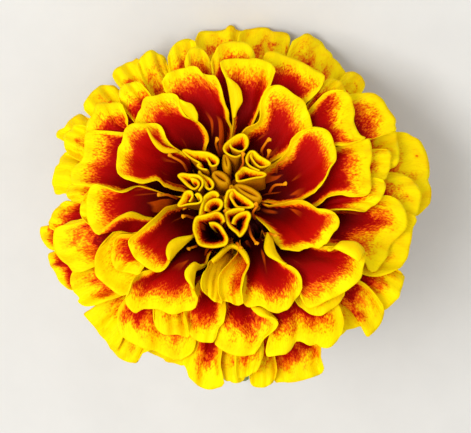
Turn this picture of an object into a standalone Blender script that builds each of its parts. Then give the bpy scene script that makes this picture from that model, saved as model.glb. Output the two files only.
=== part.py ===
# French marigold flower, picked with a short stem and laid on a table, looking up.
#
# The head is drawn in a frame of its own: z runs up the flower's axis, z = 0 is the level of
# the calyx teeth, and +Y is the side that ends up lowest. lay_down() leans that frame over
# and sets it on the table. Lengths are in metres, angles in degrees unless a name says so.

import math
import random

import bmesh
import bpy
import numpy as np

# How the flower lies on the table
AXIS_ELEVATION = math.radians(45)
MOUTH_PLACE = np.array([0.0, 0.0, 0.0188])
TABLE_SOFTNESS = 0.0006

# The inner ring, floret by floret: azimuth, reach from the axis and share of the full width
INNER_FLORETS = [
    (110, 0.0187, 1.0), (82, 0.0186, 1.0), (60, 0.0165, 1.0), (27, 0.0158, 1.1), (-24, 0.0162, 1.0),
    (-69, 0.0193, 1.0), (-90, 0.0185, 0.6), (-100, 0.0178, 0.6), (-118, 0.0212, 1.0),
    (-143, 0.0174, 0.95), (-169, 0.0204, 1.0), (165, 0.0168, 1.0), (137, 0.0172, 1.0),
]

# Ray florets: one entry is one ring, from the middle of the head outwards
FLOWER_RADIUS = 0.028
ROOT_HEIGHT = -0.0015
CLAW_HALF_WIDTH = 0.0007
RINGS = [
    dict(placed=INNER_FLORETS,
         reach=0.0172, height=0.0122, root=0.0048, rise=0.0090, lean=14, arrive=6,
         half=0.0044, cup_root=80, cup_tip=24, wave=0.0003, seed=11, bare_from=8, spans=4),
    dict(count=13, first=18, reach=0.0212, height=0.0108, root=0.0049, rise=0.0080, lean=16, arrive=0,
         half=0.0050, cup_root=75, cup_tip=18, wave=0.0004, seed=22, bare_from=8, spans=4),
    dict(count=15, first=5, reach=0.0240, height=0.0086, root=0.0049, rise=0.0072, lean=18, arrive=-8,
         half=0.0053, cup_root=70, cup_tip=12, wave=0.0005, seed=33, bare_from=7, spans=4),
    dict(count=16, first=16, reach=0.0263, height=0.0060, root=0.0049, rise=0.0064, lean=20, arrive=-14,
         half=0.0055, cup_root=65, cup_tip=8, wave=0.0005, seed=44, bare_from=6, spans=3),
    dict(count=17, first=6, reach=FLOWER_RADIUS, height=0.0028, root=0.0049, rise=0.0056, lean=22,
         arrive=-24, half=0.0056, cup_root=60, cup_tip=4, wave=0.0005, seed=56, bare_from=5, spans=3),
    dict(count=14, first=12, reach=0.0272, height=-0.0012, root=0.0049, rise=0.0050, lean=24,
         arrive=-36, half=0.0055, cup_root=55, cup_tip=0, wave=0.0005, seed=65, bare_from=4, spans=3),
]

# Outline and relief of every blade. Pairs are shares of its length between which a change takes place.
WIDENS_BETWEEN = (0.24, 0.80)
GUTTER_FLATTENS_BETWEEN = (0.20, 0.70)
CUPS_BETWEEN = (0.25, 0.60)
TIP_FLATTENS_BETWEEN = (0.75, 1.0)
TIP_FLATTENING = 0.6
WAVES_BETWEEN = (0.55, 1.0)
SIDE_WAVES_BETWEEN = (0.40, 0.75)
SIDE_WAVE_SHARE = 1.2
ROLLS_BETWEEN = (0.20, 0.70)
CORNER_CUT = 0.15
NOTCH_DEPTH = 0.012
BROAD_WAVE = dict(share=0.65, half_turns=1.5)
FINE_WAVE = dict(share=0.35, half_turns=3.4)
SIDE_HALF_TURNS = 4.4

# Blades of the ray florets
BLADE_THICKNESS = 0.0006
BLADE_CLEARANCE = 0.0003
ACROSS_STEPS = 16
ALONG_STEPS = 24
KEPT_ACROSS = (0, 4, 8, 12, 16)

# Map of the lowest blade underside over each spot of the head, for laying rings under rings
MAP_CELL = 0.0008
MAP_HALF = 0.034

# Distances from the axis between which the claws leave one another and lie in layers
CLAWS_SPREAD_BETWEEN = (0.006, 0.010)

# Receptacle that the ray florets grow from, as (radius, height) pairs up its side and over its rim
CORE_PROFILE = [
    (0.0034, -0.0122), (0.0048, -0.0092), (0.0052, -0.0052), (0.0052, -0.0014), (0.0056, -0.0007),
    (0.0074, -0.0009), (0.0094, -0.0008), (0.0103, 0.0012), (0.0102, 0.0034), (0.0094, 0.0054),
    (0.0084, 0.0060), (0.0070, 0.0054), (0.0056, 0.0047),
]
CORE_SIDES = 32

# Disc florets: where each mouth is across the head, its two widths, its height and its turn
DISC_PLATE = dict(radius=0.0050, bottom=0.0050, top=0.0060, sides=20)
DISC_FLORETS = [
    dict(x=0.0004, y=0.0062, wide=0.0036, deep=0.0034, height=0.0108, turn=20),
    dict(x=0.0038, y=0.0041, wide=0.0030, deep=0.0024, height=0.0104, turn=-30),
    dict(x=0.0024, y=0.0018, wide=0.0040, deep=0.0023, height=0.0100, turn=10),
    dict(x=0.0023, y=-0.0006, wide=0.0036, deep=0.0020, height=0.0096, turn=0),
    dict(x=0.0014, y=-0.0026, wide=0.0034, deep=0.0026, height=0.0100, turn=-15),
    dict(x=0.0007, y=-0.0056, wide=0.0034, deep=0.0032, height=0.0104, turn=0),
    dict(x=-0.0033, y=-0.0060, wide=0.0042, deep=0.0040, height=0.0108, turn=25),
    dict(x=-0.0033, y=-0.0026, wide=0.0032, deep=0.0032, height=0.0100, turn=40),
    dict(x=-0.0062, y=-0.0016, wide=0.0032, deep=0.0023, height=0.0104, turn=10),
    dict(x=-0.0061, y=0.0010, wide=0.0032, deep=0.0025, height=0.0104, turn=-10),
    dict(x=-0.0037, y=0.0010, wide=0.0020, deep=0.0026, height=0.0098, turn=0),
    dict(x=-0.0020, y=0.0016, wide=0.0022, deep=0.0022, height=0.0096, turn=0),
    dict(x=-0.0046, y=0.0043, wide=0.0044, deep=0.0027, height=0.0106, turn=20),
    dict(x=-0.0012, y=0.0040, wide=0.0014, deep=0.0024, height=0.0100, turn=0),
]
FLORET_SIDES = 10
FLORET_WALL = 0.0006
FLORET_WELL = 0.0020
FLORET_FOOT_SHARE = 0.66
SMALLEST_OPEN_MOUTH = 0.0021

# Calyx: a ribbed green cup round the claws, with teeth at its mouth
CALYX_WALL = 0.0008
CALYX_RIBS = 12
CALYX_RIB_HEIGHT = 0.00025
CALYX_TEETH = 6
CALYX_TOOTH_HEIGHT = 0.0014
CALYX_TOOTH_FLARE = 0.35
CALYX_RIM = 0.0002
CALYX_SIDES = 36
CALYX_INSIDE = [(0.0020, -0.0140), (0.0038, -0.0125), (0.0051, -0.0093), (0.0055, -0.0052), (0.0055, -0.0026)]
CALYX_BOTTOM = -0.0168

# Stem, from the calyx down to the cut end on the table
STEM_TOP_RADIUS = 0.0021
STEM_NECK_RADIUS = 0.0012
STEM_END_RADIUS = 0.0011
STEM_NECK = 0.0050
STEM_RUN = 0.0240
STEM_SWAY = 0.0012
STEM_SIDES = 12
STEM_RINGS = 14
SEAT_GAP = 0.0003

# Points of a fused mesh closer than this become one
WELD = 0.0000004


def clear_scene():
    for thing in list(bpy.data.objects):
        bpy.data.objects.remove(thing)


def smooth_step(x, span):
    low, high = span
    t = np.clip((x - low) / (high - low), 0, 1)
    return t * t * (3 - 2 * t)


def bezier(points, steps):
    """Points on a cubic curve and the unit tangents there."""
    a, b, c, d = (np.array(point, dtype=float) for point in points)
    t = np.linspace(0, 1, steps + 1)[:, None]
    line = (1 - t) ** 3 * a + 3 * (1 - t) ** 2 * t * b + 3 * (1 - t) * t**2 * c + t**3 * d
    tangents = 3 * ((1 - t) ** 2 * (b - a) + 2 * (1 - t) * t * (c - b) + t**2 * (d - c))
    return line, tangents / np.linalg.norm(tangents, axis=1)[:, None]


def lay_down(points):
    """Turns points of the head's frame into world places."""
    x, y, z = (points[..., i] for i in range(3))
    s, c = math.sin(AXIS_ELEVATION), math.cos(AXIS_ELEVATION)
    return np.stack([x, s * y + c * z, s * z - c * y], axis=-1) + MOUTH_PLACE


def press_on_table(points, height):
    """Bends whatever would reach below the given height up onto it."""
    z = points[..., 2] - height
    pressed = points.copy()
    pressed[..., 2] = height + 0.5 * (z + np.sqrt(z * z + TABLE_SOFTNESS**2))
    return pressed


# Ray florets


def floret_draws(ring):
    """What differs from floret to floret in one ring."""
    rng = random.Random(ring["seed"])
    placed = ring.get("placed")
    if placed is None:
        step = 360 / ring["count"]
        placed = [
            (ring["first"] + step * (i + rng.uniform(-0.16, 0.16)), ring["reach"] * rng.uniform(0.95, 1.05),
             rng.uniform(0.92, 1.1))
            for i in range(ring["count"])
        ]
    return [
        dict(
            azimuth=math.radians(azimuth),
            reach=reach,
            width_share=width_share,
            lift=rng.uniform(-0.0006, 0.0006),
            roll=math.radians(rng.uniform(1, 9)),
            sway=rng.uniform(-0.0011, 0.0011),
            cups=(rng.uniform(0.5, 1.6), rng.uniform(0.5, 1.6)),
            phases=[rng.uniform(0, 2 * math.pi) for _ in range(6)],
        )
        for azimuth, reach, width_share in placed
    ]


def blade_surface(ring, draw):
    """Middle surface of one blade in the head's frame, as an (across, along) grid of points."""
    reach = draw["reach"]
    lean, arrive = math.radians(ring["lean"]), math.radians(ring["arrive"])
    root = np.array([ring["root"], ROOT_HEIGHT])
    tip = np.array([reach, ring["height"] + draw["lift"]])
    rising = root + ring["rise"] * np.array([math.sin(lean), math.cos(lean)])
    arriving = tip - 0.45 * (reach - ring["root"]) * np.array([math.cos(arrive), math.sin(arrive)])
    line, tangents = bezier([root, rising, arriving, tip], 120)
    arcs = np.concatenate([[0], np.cumsum(np.linalg.norm(np.diff(line, axis=0), axis=1))])

    across = np.linspace(-1, 1, ACROSS_STEPS + 1)[:, None]
    along = np.linspace(0, 1, ALONG_STEPS + 1)[None, :]
    phases = draw["phases"]
    notches = np.cos(3 * math.pi * across + phases[0])
    end = 1 - CORNER_CUT * np.abs(across) ** 3 + NOTCH_DEPTH * notches
    share = along * end
    radius, height = (np.interp(share * arcs[-1], arcs, line[:, i]) for i in (0, 1))
    tangent_r, tangent_z = (np.interp(share * arcs[-1], arcs, tangents[:, i]) for i in (0, 1))

    widest = ring["half"] * draw["width_share"]
    half = CLAW_HALF_WIDTH + (widest - CLAW_HALF_WIDTH) * smooth_step(share, WIDENS_BETWEEN)
    gutter = ring["cup_root"] * (1 - smooth_step(share, GUTTER_FLATTENS_BETWEEN))
    cup = ring["cup_tip"] * np.where(across < 0, *draw["cups"]) * smooth_step(share, CUPS_BETWEEN)
    cup = cup * (1 - TIP_FLATTENING * smooth_step(share, TIP_FLATTENS_BETWEEN))
    bend = np.radians(np.maximum(gutter + cup, 0.1))
    sideways = half * np.sin(bend * across) / bend
    upwards = half * (1 - np.cos(bend * across)) / bend
    for wave, phase in ((BROAD_WAVE, phases[4]), (FINE_WAVE, phases[5])):
        crests = np.sin(wave["half_turns"] * math.pi * across + phase)
        upwards = upwards + ring["wave"] * wave["share"] * crests * smooth_step(share, WAVES_BETWEEN)
    side_phase = np.where(across < 0, phases[2], phases[3])
    side_crests = across**2 * np.sin(SIDE_HALF_TURNS * math.pi * share + side_phase)
    upwards = upwards + SIDE_WAVE_SHARE * ring["wave"] * side_crests * smooth_step(share, SIDE_WAVES_BETWEEN)

    roll = draw["roll"] * smooth_step(share, ROLLS_BETWEEN)
    x = sideways * np.cos(roll) - upwards * np.sin(roll) + draw["sway"] * share**2
    y = sideways * np.sin(roll) + upwards * np.cos(roll)
    radius, height = radius - tangent_z * y, height + tangent_r * y
    c, s = math.cos(draw["azimuth"]), math.sin(draw["azimuth"])
    return np.stack([c * radius - s * x, s * radius + c * x, height], axis=-1)


def neighbours(grid):
    """Each cell of a grid with its eight neighbours, as a stack of nine grids."""
    padded = np.pad(grid, 1, mode="edge")
    rows, columns = grid.shape
    return np.stack([padded[i:i + rows, j:j + columns] for i in range(3) for j in range(3)])


def map_cells(surface):
    cells = ((surface[..., :2] + MAP_HALF) / MAP_CELL).astype(int)
    return cells[..., 0], cells[..., 1]


def sink_under(surface, ceiling):
    """Lowers a blade wherever it would rise into the blades above it."""
    room = ceiling[map_cells(surface)] - BLADE_CLEARANCE
    need = np.maximum(surface[..., 2] - room, 0)
    free_of_core = smooth_step(np.hypot(surface[..., 0], surface[..., 1]), CLAWS_SPREAD_BETWEEN)
    drop = need
    for _ in range(2):
        drop = neighbours(drop).max(axis=0)
    for _ in range(3):
        drop = neighbours(drop).mean(axis=0)
    sunk = surface.copy()
    sunk[..., 2] -= np.maximum(drop, need) * free_of_core
    return sunk


def lay_rings():
    """All the blades' middle surfaces, each laid under those that come before it."""
    side = int(2 * MAP_HALF / MAP_CELL)
    ceiling = np.full((side, side), np.inf)
    surfaces = []
    for ring in RINGS:
        for draw in sorted(floret_draws(ring), key=lambda draw: -draw["lift"]):
            surface = sink_under(blade_surface(ring, draw), ceiling)
            shadow = np.full((side, side), np.inf)
            np.minimum.at(shadow, map_cells(surface), surface[..., 2])
            ceiling = np.minimum(ceiling, neighbours(shadow).min(axis=0))
            surfaces.append((surface, ring))
    return surfaces


def blade_mesh(surface, ring):
    """Closed blade of even thickness round a surface, its two faces split into triangles alike."""
    normals = np.cross(np.gradient(surface, axis=0), np.gradient(surface, axis=1))
    normals /= np.linalg.norm(normals, axis=-1)[..., None]
    kept_along = np.linspace(ring["bare_from"], ALONG_STEPS, ring["spans"] + 1).round().astype(int)
    kept = np.ix_(KEPT_ACROSS, kept_along)
    middle, offset = surface[kept], normals[kept] * BLADE_THICKNESS / 2
    rows, columns = middle.shape[:2]
    places = np.concatenate([(middle + offset).reshape(-1, 3), (middle - offset).reshape(-1, 3)])
    under = rows * columns
    faces = []
    for i in range(rows - 1):
        for j in range(columns - 1):
            a, b = i * columns + j, (i + 1) * columns + j
            for corners in ((a, b, b + 1), (a, b + 1, a + 1)):
                faces.append(corners)
                faces.append(tuple(corner + under for corner in reversed(corners)))
    rim = list(range(columns))
    rim += [i * columns + columns - 1 for i in range(1, rows)]
    rim += [(rows - 1) * columns + j for j in range(columns - 2, -1, -1)]
    rim += [i * columns for i in range(rows - 2, 0, -1)]
    for a, b in zip(rim, rim[1:] + rim[:1]):
        faces.append((a, b, b + under))
        faces.append((a, b + under, a + under))
    mesh = bpy.data.meshes.new("blade")
    mesh.from_pydata(places.tolist(), [], faces)
    return mesh


# Meshes that more than one piece uses


def turned_mesh(name, profile, sides):
    """Solid of revolution in the head's frame, closed at both ends by flat caps."""
    angles = np.linspace(0, 2 * math.pi, sides, endpoint=False)
    rings = [
        np.stack([radius * np.cos(angles), radius * np.sin(angles), np.full(sides, height)], axis=-1)
        for radius, height in profile
    ]
    return ringed_mesh(name, lay_down(np.array(rings)))


def ringed_mesh(name, rings):
    """Closed mesh through rings of points that all turn the same way round, capped at both ends."""
    count, sides = rings.shape[:2]
    faces = [tuple(reversed(range(sides)))]
    for k in range(count - 1):
        for i in range(sides):
            j = (i + 1) % sides
            faces.append((k * sides + i, k * sides + j, (k + 1) * sides + j, (k + 1) * sides + i))
    faces.append(tuple(range((count - 1) * sides, count * sides)))
    mesh = bpy.data.meshes.new(name)
    mesh.from_pydata(rings.reshape(-1, 3).tolist(), [], faces)
    return mesh


def fuse(name, body_mesh, part_meshes, solver):
    """One solid from a body and the parts that are sunk into it."""
    body = bpy.data.objects.new(name, body_mesh)
    bpy.context.scene.collection.objects.link(body)
    parts = bpy.data.collections.new(name + "_parts")
    bpy.context.scene.collection.children.link(parts)
    for mesh in part_meshes:
        parts.objects.link(bpy.data.objects.new(mesh.name, mesh))
    union = body.modifiers.new("union", "BOOLEAN")
    union.operation = "UNION"
    union.operand_type = "COLLECTION"
    union.collection = parts
    union.solver = solver
    fused = bpy.data.meshes.new_from_object(body.evaluated_get(bpy.context.evaluated_depsgraph_get()))
    body.modifiers.clear()
    body.data = fused
    for part in list(parts.objects):
        bpy.data.objects.remove(part)
    bpy.data.collections.remove(parts)
    return body


def tidy_mesh(piece, weld):
    """Welds points closer than the given distance, keeps the largest body and points faces outwards."""
    mesh = bmesh.new()
    mesh.from_mesh(piece.data)
    bmesh.ops.remove_doubles(mesh, verts=mesh.verts, dist=weld)
    bmesh.ops.dissolve_degenerate(mesh, edges=mesh.edges, dist=weld)
    bmesh.ops.triangulate(mesh, faces=mesh.faces)
    left = set(mesh.verts)
    bodies = []
    while left:
        body, front = set(), [left.pop()]
        while front:
            vert = front.pop()
            body.add(vert)
            for edge in vert.link_edges:
                other = edge.other_vert(vert)
                if other in left:
                    left.remove(other)
                    front.append(other)
        bodies.append(body)
    bodies.sort(key=len)
    for scrap in bodies[:-1]:
        bmesh.ops.delete(mesh, geom=list(scrap), context="VERTS")
    bmesh.ops.recalc_face_normals(mesh, faces=mesh.faces)
    mesh.to_mesh(piece.data)
    mesh.free()


def finish_piece(piece, material, sharp_angle):
    piece.data.materials.clear()
    piece.data.materials.append(material)
    piece.data.shade_smooth()
    piece.data.set_sharp_from_angle(angle=math.radians(sharp_angle))


def plain_material(name, colour, roughness):
    material = bpy.data.materials.new(name)
    material.use_nodes = True
    shader = material.node_tree.nodes["Principled BSDF"]
    shader.inputs["Base Color"].default_value = (*colour, 1)
    shader.inputs["Roughness"].default_value = roughness
    shader.inputs["Metallic"].default_value = 0
    return material


# The pieces


def make_ray_florets():
    blades = [
        blade_mesh(press_on_table(lay_down(surface), BLADE_THICKNESS / 2), ring)
        for surface, ring in lay_rings()
    ]
    core = turned_mesh("ray_florets", CORE_PROFILE, CORE_SIDES)
    piece = fuse("ray_florets", core, blades, "MANIFOLD")
    tidy_mesh(piece, WELD)
    finish_piece(piece, plain_material("petal_red_and_yellow", (0.72, 0.16, 0.01), 0.6), 50)
    return piece


def trumpet_mesh(floret):
    """One quilled disc floret: a tube that widens to an oval mouth, or a shut bud where it is small."""
    angles = np.linspace(0, 2 * math.pi, FLORET_SIDES, endpoint=False)
    turn = math.radians(floret["turn"])
    mouth = np.array([floret["x"], floret["y"]])
    foot_height = (DISC_PLATE["bottom"] + DISC_PLATE["top"]) / 2
    rise = floret["height"] - foot_height
    is_open = min(floret["wide"], floret["deep"]) > SMALLEST_OPEN_MOUTH
    # Each level is its share of the rise and its share of the mouth's width, less a wall thickness
    levels = [(0, 0.42, 0), (0.55, 0.56, 0), (1, 1, 0)]
    if is_open:
        levels += [(1, 1, FLORET_WALL), (1 - FLORET_WELL / rise, 0.8, FLORET_WALL)]
    else:
        levels = levels[:2] + [(0.85, 0.9, 0), (1, 0.45, 0)]
    rings = []
    for height_share, width_share, wall in levels:
        half_wide = max(floret["wide"] / 2 * width_share - wall, 0.0003)
        half_deep = max(floret["deep"] / 2 * width_share - wall, 0.0003)
        x, y = half_wide * np.cos(angles), half_deep * np.sin(angles)
        centre = mouth * (FLORET_FOOT_SHARE + (1 - FLORET_FOOT_SHARE) * height_share)
        rings.append(np.stack([
            centre[0] + x * math.cos(turn) - y * math.sin(turn),
            centre[1] + x * math.sin(turn) + y * math.cos(turn),
            np.full(FLORET_SIDES, foot_height + rise * height_share),
        ], axis=-1))
    return ringed_mesh("trumpet", lay_down(np.array(rings)))


def make_disc_florets():
    bottom, top, radius = DISC_PLATE["bottom"], DISC_PLATE["top"], DISC_PLATE["radius"]
    profile = [(radius * 0.92, bottom), (radius, (bottom + top) / 2), (radius * 0.84, top)]
    plate = turned_mesh("disc_florets", profile, DISC_PLATE["sides"])
    piece = fuse("disc_florets", plate, [trumpet_mesh(floret) for floret in DISC_FLORETS], "EXACT")
    tidy_mesh(piece, WELD)
    finish_piece(piece, plain_material("disc_floret_amber", (0.75, 0.33, 0.02), 0.55), 40)
    return piece


def make_calyx():
    """A cup with its outside wall ribbed, its mouth cut into teeth and its floor solid."""
    angles = np.linspace(0, 2 * math.pi, CALYX_SIDES, endpoint=False)
    ribs = CALYX_RIB_HEIGHT * (0.5 + 0.5 * np.cos(CALYX_RIBS * angles))
    teeth = CALYX_TOOTH_HEIGHT * (1 - np.abs(((CALYX_TEETH * angles / (2 * math.pi)) % 1) * 2 - 1))

    def ring(radius, height):
        return np.stack([radius * np.cos(angles), radius * np.sin(angles), height + 0 * angles], axis=-1)

    outside = [ring(STEM_TOP_RADIUS + 0 * angles, CALYX_BOTTOM)]
    for radius, height in CALYX_INSIDE:
        outside.append(ring(radius + CALYX_WALL + ribs, height))
    rim_radius, rim_height = CALYX_INSIDE[-1]
    rim_radius = rim_radius + CALYX_TOOTH_FLARE * teeth
    rim_height = rim_height + CALYX_RIM + teeth
    outside.append(ring(rim_radius + CALYX_WALL, rim_height))
    inside = [ring(rim_radius, rim_height)]
    for radius, height in reversed(CALYX_INSIDE):
        inside.append(ring(radius + 0 * angles, height))
    piece = bpy.data.objects.new("calyx", ringed_mesh("calyx", lay_down(np.array(outside + inside))))
    bpy.context.scene.collection.objects.link(piece)
    finish_piece(piece, plain_material("calyx_green", (0.13, 0.24, 0.05), 0.6), 40)
    return piece


def make_stem():
    """A round stem that leaves the calyx along the flower's axis and bends down onto the table."""
    s, c = math.sin(AXIS_ELEVATION), math.cos(AXIS_ELEVATION)
    axis = np.array([0, c, s])
    top = lay_down(np.array([0, 0, CALYX_BOTTOM - SEAT_GAP]))
    end = np.array([STEM_SWAY, top[1] - STEM_RUN, STEM_END_RADIUS])
    reach = STEM_RUN / 3
    before_end = end + np.array([0, reach, 0])
    line, tangents = bezier([top, top - axis * reach, before_end, end], STEM_RINGS)
    arcs = np.concatenate([[0], np.cumsum(np.linalg.norm(np.diff(line, axis=0), axis=1))])
    swell = 1 - smooth_step(arcs, (0, STEM_NECK))
    taper = STEM_NECK_RADIUS + (STEM_END_RADIUS - STEM_NECK_RADIUS) * arcs / arcs[-1]
    radii = taper + (STEM_TOP_RADIUS - STEM_NECK_RADIUS) * swell
    angles = np.linspace(0, 2 * math.pi, STEM_SIDES, endpoint=False)[:, None]
    rings = []
    for place, tangent, radius in zip(line, tangents, radii):
        across = np.cross(tangent, [0, 0, 1])
        across /= np.linalg.norm(across)
        above = np.cross(across, tangent)
        rings.append(place + radius * (np.cos(angles) * across - np.sin(angles) * above))
    rings = np.array(rings)
    rings[..., 2] = np.maximum(rings[..., 2], 0)
    piece = bpy.data.objects.new("stem", ringed_mesh("stem", rings))
    bpy.context.scene.collection.objects.link(piece)
    finish_piece(piece, plain_material("stem_green", (0.17, 0.26, 0.06), 0.55), 50)
    return piece


def set_on_origin(pieces):
    """Moves the flower so that the middle of its box's bottom is the origin."""
    corners = np.concatenate([
        np.array([vert.co for vert in piece.data.vertices]) for piece in pieces
    ])
    low, high = corners.min(axis=0), corners.max(axis=0)
    shift = np.array([(low[0] + high[0]) / 2, (low[1] + high[1]) / 2, low[2]])
    for piece in pieces:
        for vert in piece.data.vertices:
            vert.co = np.array(vert.co) - shift


clear_scene()
set_on_origin([make_ray_florets(), make_disc_florets(), make_calyx(), make_stem()])
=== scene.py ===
import math
import random

import bpy
import numpy as np
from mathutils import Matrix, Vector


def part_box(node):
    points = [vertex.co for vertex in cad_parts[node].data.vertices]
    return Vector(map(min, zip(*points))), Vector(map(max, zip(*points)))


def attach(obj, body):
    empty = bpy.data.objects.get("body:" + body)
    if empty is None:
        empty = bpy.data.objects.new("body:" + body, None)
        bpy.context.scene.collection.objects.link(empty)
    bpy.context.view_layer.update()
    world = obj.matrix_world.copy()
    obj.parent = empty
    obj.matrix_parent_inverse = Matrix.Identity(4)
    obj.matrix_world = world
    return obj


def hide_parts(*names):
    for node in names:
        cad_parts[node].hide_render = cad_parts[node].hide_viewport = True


# Double French marigold, picked with a short stem and laid on a table.
# The head is drawn in its own frame, with z up the flower's axis, z = 0 at the calyx teeth and
# +y on the side that touches the table. layDown() puts it where the CAD calyx is.
# Lengths are metres in the geometry and millimetres in the petals' colour attributes.

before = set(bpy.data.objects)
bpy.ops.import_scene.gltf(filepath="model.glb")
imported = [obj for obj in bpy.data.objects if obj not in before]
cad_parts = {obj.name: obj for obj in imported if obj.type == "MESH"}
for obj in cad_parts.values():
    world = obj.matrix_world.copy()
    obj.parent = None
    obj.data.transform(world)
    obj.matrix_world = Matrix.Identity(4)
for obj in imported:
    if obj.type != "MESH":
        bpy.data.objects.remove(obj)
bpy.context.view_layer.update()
print("frame loaded:", sorted(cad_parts))

pose = dict(
    axisElevation=math.radians(45),
    calyxCentreBelowMouth=0.006555,  # from the middle of the calyx's box up the axis to z = 0
    tableSoftness=0.0006,  # how roundly the lowest petals bend up onto the table
)
axisUp, axisOut = math.sin(pose["axisElevation"]), math.cos(pose["axisElevation"])
calyxLow, calyxHigh = (np.array(corner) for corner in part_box("calyx"))
axis = np.array([0, axisOut, axisUp])
mouthPlace = (calyxLow + calyxHigh) / 2 + pose["calyxCentreBelowMouth"] * axis


def layDown(points):
    x, y, z = (points[..., i] for i in range(3))
    return np.stack([x, axisUp * y + axisOut * z, axisUp * z - axisOut * y], axis=-1) + mouthPlace


def pressOnTable(points, height):
    z = points[..., 2] - height
    pressed = points.copy()
    pressed[..., 2] = height + 0.5 * (z + np.sqrt(z * z + pose["tableSoftness"] ** 2))
    return pressed


def smoothStep(x, low, high):
    t = np.clip((x - low) / (high - low), 0, 1)
    return t * t * (3 - 2 * t)


# Camera: about 20 degrees off the flower's axis, as in the photograph

shot = dict(
    elevation=math.radians(65),
    distance=0.42,
    imageWidth=471,
    pixelsPerMetre=7000,
    aim=(0.0002, -0.0011, 0.0022),  # in the head's frame
)


def makeCamera():
    data = bpy.data.cameras.new("camera")
    camera = bpy.data.objects.new("camera", data)
    bpy.context.scene.collection.objects.link(camera)
    away = np.array([0, math.cos(shot["elevation"]), math.sin(shot["elevation"])])
    camera.location = layDown(np.array(shot["aim"])) + away * shot["distance"]
    camera.rotation_euler = (shot["elevation"] - math.pi / 2, 0, 0)
    seenWidth = shot["imageWidth"] / shot["pixelsPerMetre"]
    data.lens = data.sensor_width * shot["distance"] / seenWidth
    bpy.context.scene.camera = camera


makeCamera()
print("camera set")


# Shader tree helpers

def srgb(red, green, blue):
    def linear(value):
        value /= 255
        return value / 12.92 if value <= 0.04045 else ((value + 0.055) / 1.055) ** 2.4
    return (linear(red), linear(green), linear(blue), 1)


def addNode(tree, kind, inputs=None, **settings):
    node = tree.nodes.new(kind)
    for name, value in settings.items():
        setattr(node, name, value)
    for socket, value in (inputs or {}).items():
        if isinstance(value, bpy.types.NodeSocket):
            tree.links.new(value, node.inputs[socket])
        else:
            node.inputs[socket].default_value = value
    return node


def doMath(tree, operation, *values):
    return addNode(tree, "ShaderNodeMath", dict(enumerate(values)), operation=operation).outputs[0]


def product(tree, first, *others):
    for other in others:
        first = doMath(tree, "MULTIPLY", first, other)
    return first


def mapRange(tree, value, low, high, toLow=0.0, toHigh=1.0, kind="LINEAR"):
    inputs = {0: value, 1: low, 2: high, 3: toLow, 4: toHigh}
    return addNode(tree, "ShaderNodeMapRange", inputs, interpolation_type=kind).outputs[0]


def fade(tree, value, low, high):
    return mapRange(tree, value, low, high, kind="SMOOTHSTEP")


noiseRange = (0.3, 0.7)  # where most values of a noise lie


def spreadNoise(tree, value, low=0.0, high=1.0):
    return mapRange(tree, value, *noiseRange, low, high)


def mixColour(tree, share, first, second, blend="MIX"):
    inputs = {0: share, 6: first, 7: second}
    return addNode(tree, "ShaderNodeMix", inputs, data_type="RGBA", blend_type=blend).outputs[2]


def stretched(tree, across, along, seed, acrossScale, alongScale):
    x, y = product(tree, across, acrossScale), product(tree, along, alongScale)
    return addNode(tree, "ShaderNodeCombineXYZ", {0: x, 1: y, 2: seed}).outputs[0]


def noise(tree, vector, scale=1.0, detail=3.0, roughness=0.5, distortion=0.0):
    inputs = dict(
        Vector=vector, Scale=scale, Detail=detail, Roughness=roughness, Distortion=distortion)
    return addNode(tree, "ShaderNodeTexNoise", inputs).outputs["Fac"]


def colourRamp(tree, value, stops):
    node = addNode(tree, "ShaderNodeValToRGB", {0: value})
    elements = node.color_ramp.elements
    while len(elements) < len(stops):
        elements.new(0.5)
    for element, (place, colour) in zip(elements, stops):
        element.position = place
        element.color = colour
    return node.outputs[0]


def newGroup(name, inputs, outputs):
    group = bpy.data.node_groups.new(name, "ShaderNodeTree")
    for socket, default in inputs.items():
        made = group.interface.new_socket(socket, in_out="INPUT", socket_type="NodeSocketFloat")
        made.default_value = default
    for socket, kind in outputs.items():
        group.interface.new_socket(socket, in_out="OUTPUT", socket_type="NodeSocket" + kind)
    given = group.nodes.new("NodeGroupInput").outputs
    return group, given, group.nodes.new("NodeGroupOutput").inputs


def newMaterial(name, roughness, specular):
    material = bpy.data.materials.new(name)
    material.use_nodes = True
    shader = material.node_tree.nodes["Principled BSDF"]
    shader.inputs["Roughness"].default_value = roughness
    shader.inputs["Specular IOR Level"].default_value = specular
    return material, material.node_tree, shader


def readAttribute(tree, name):
    return addNode(tree, "ShaderNodeAttribute", attribute_name=name).outputs["Fac"]


def objectPlace(tree):
    return addNode(tree, "ShaderNodeTexCoord").outputs["Object"]


def connectLook(tree, shader, colour, roughness, relief, strength, distance):
    bump = dict(Strength=strength, Distance=distance, Height=relief)
    normal = addNode(tree, "ShaderNodeBump", bump).outputs["Normal"]
    links = {"Base Color": colour, "Roughness": roughness, "Normal": normal}
    for socket, output in links.items():
        tree.links.new(output, shader.inputs[socket])


# Lines and meshes

def curveThrough(points, count, closed=False):
    points = np.array(points, float)
    if closed:
        padded = np.concatenate([points[-1:], points, points[:2]])
    else:
        before, after = 2 * points[:1] - points[1:2], 2 * points[-1:] - points[-2:-1]
        padded = np.concatenate([before, points, after])
    spans = len(padded) - 3
    t = np.linspace(0, spans, count, endpoint=not closed)
    first = np.minimum(t.astype(int), spans - 1)
    t = (t - first)[:, None]
    p0, p1, p2, p3 = (padded[first + i] for i in range(4))
    square = 2 * p0 - 5 * p1 + 4 * p2 - p3
    cube = 3 * p1 - p0 - 3 * p2 + p3
    return 0.5 * (2 * p1 + (p2 - p0) * t + square * t**2 + cube * t**3)


def bezier(t, p0, p1, p2, p3):
    return (1 - t) ** 3 * p0 + 3 * (1 - t) ** 2 * t * p1 + 3 * (1 - t) * t**2 * p2 + t**3 * p3


def lengthsOf(line):
    return np.concatenate([[0], np.cumsum(np.linalg.norm(np.diff(line, axis=0), axis=1))])


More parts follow.
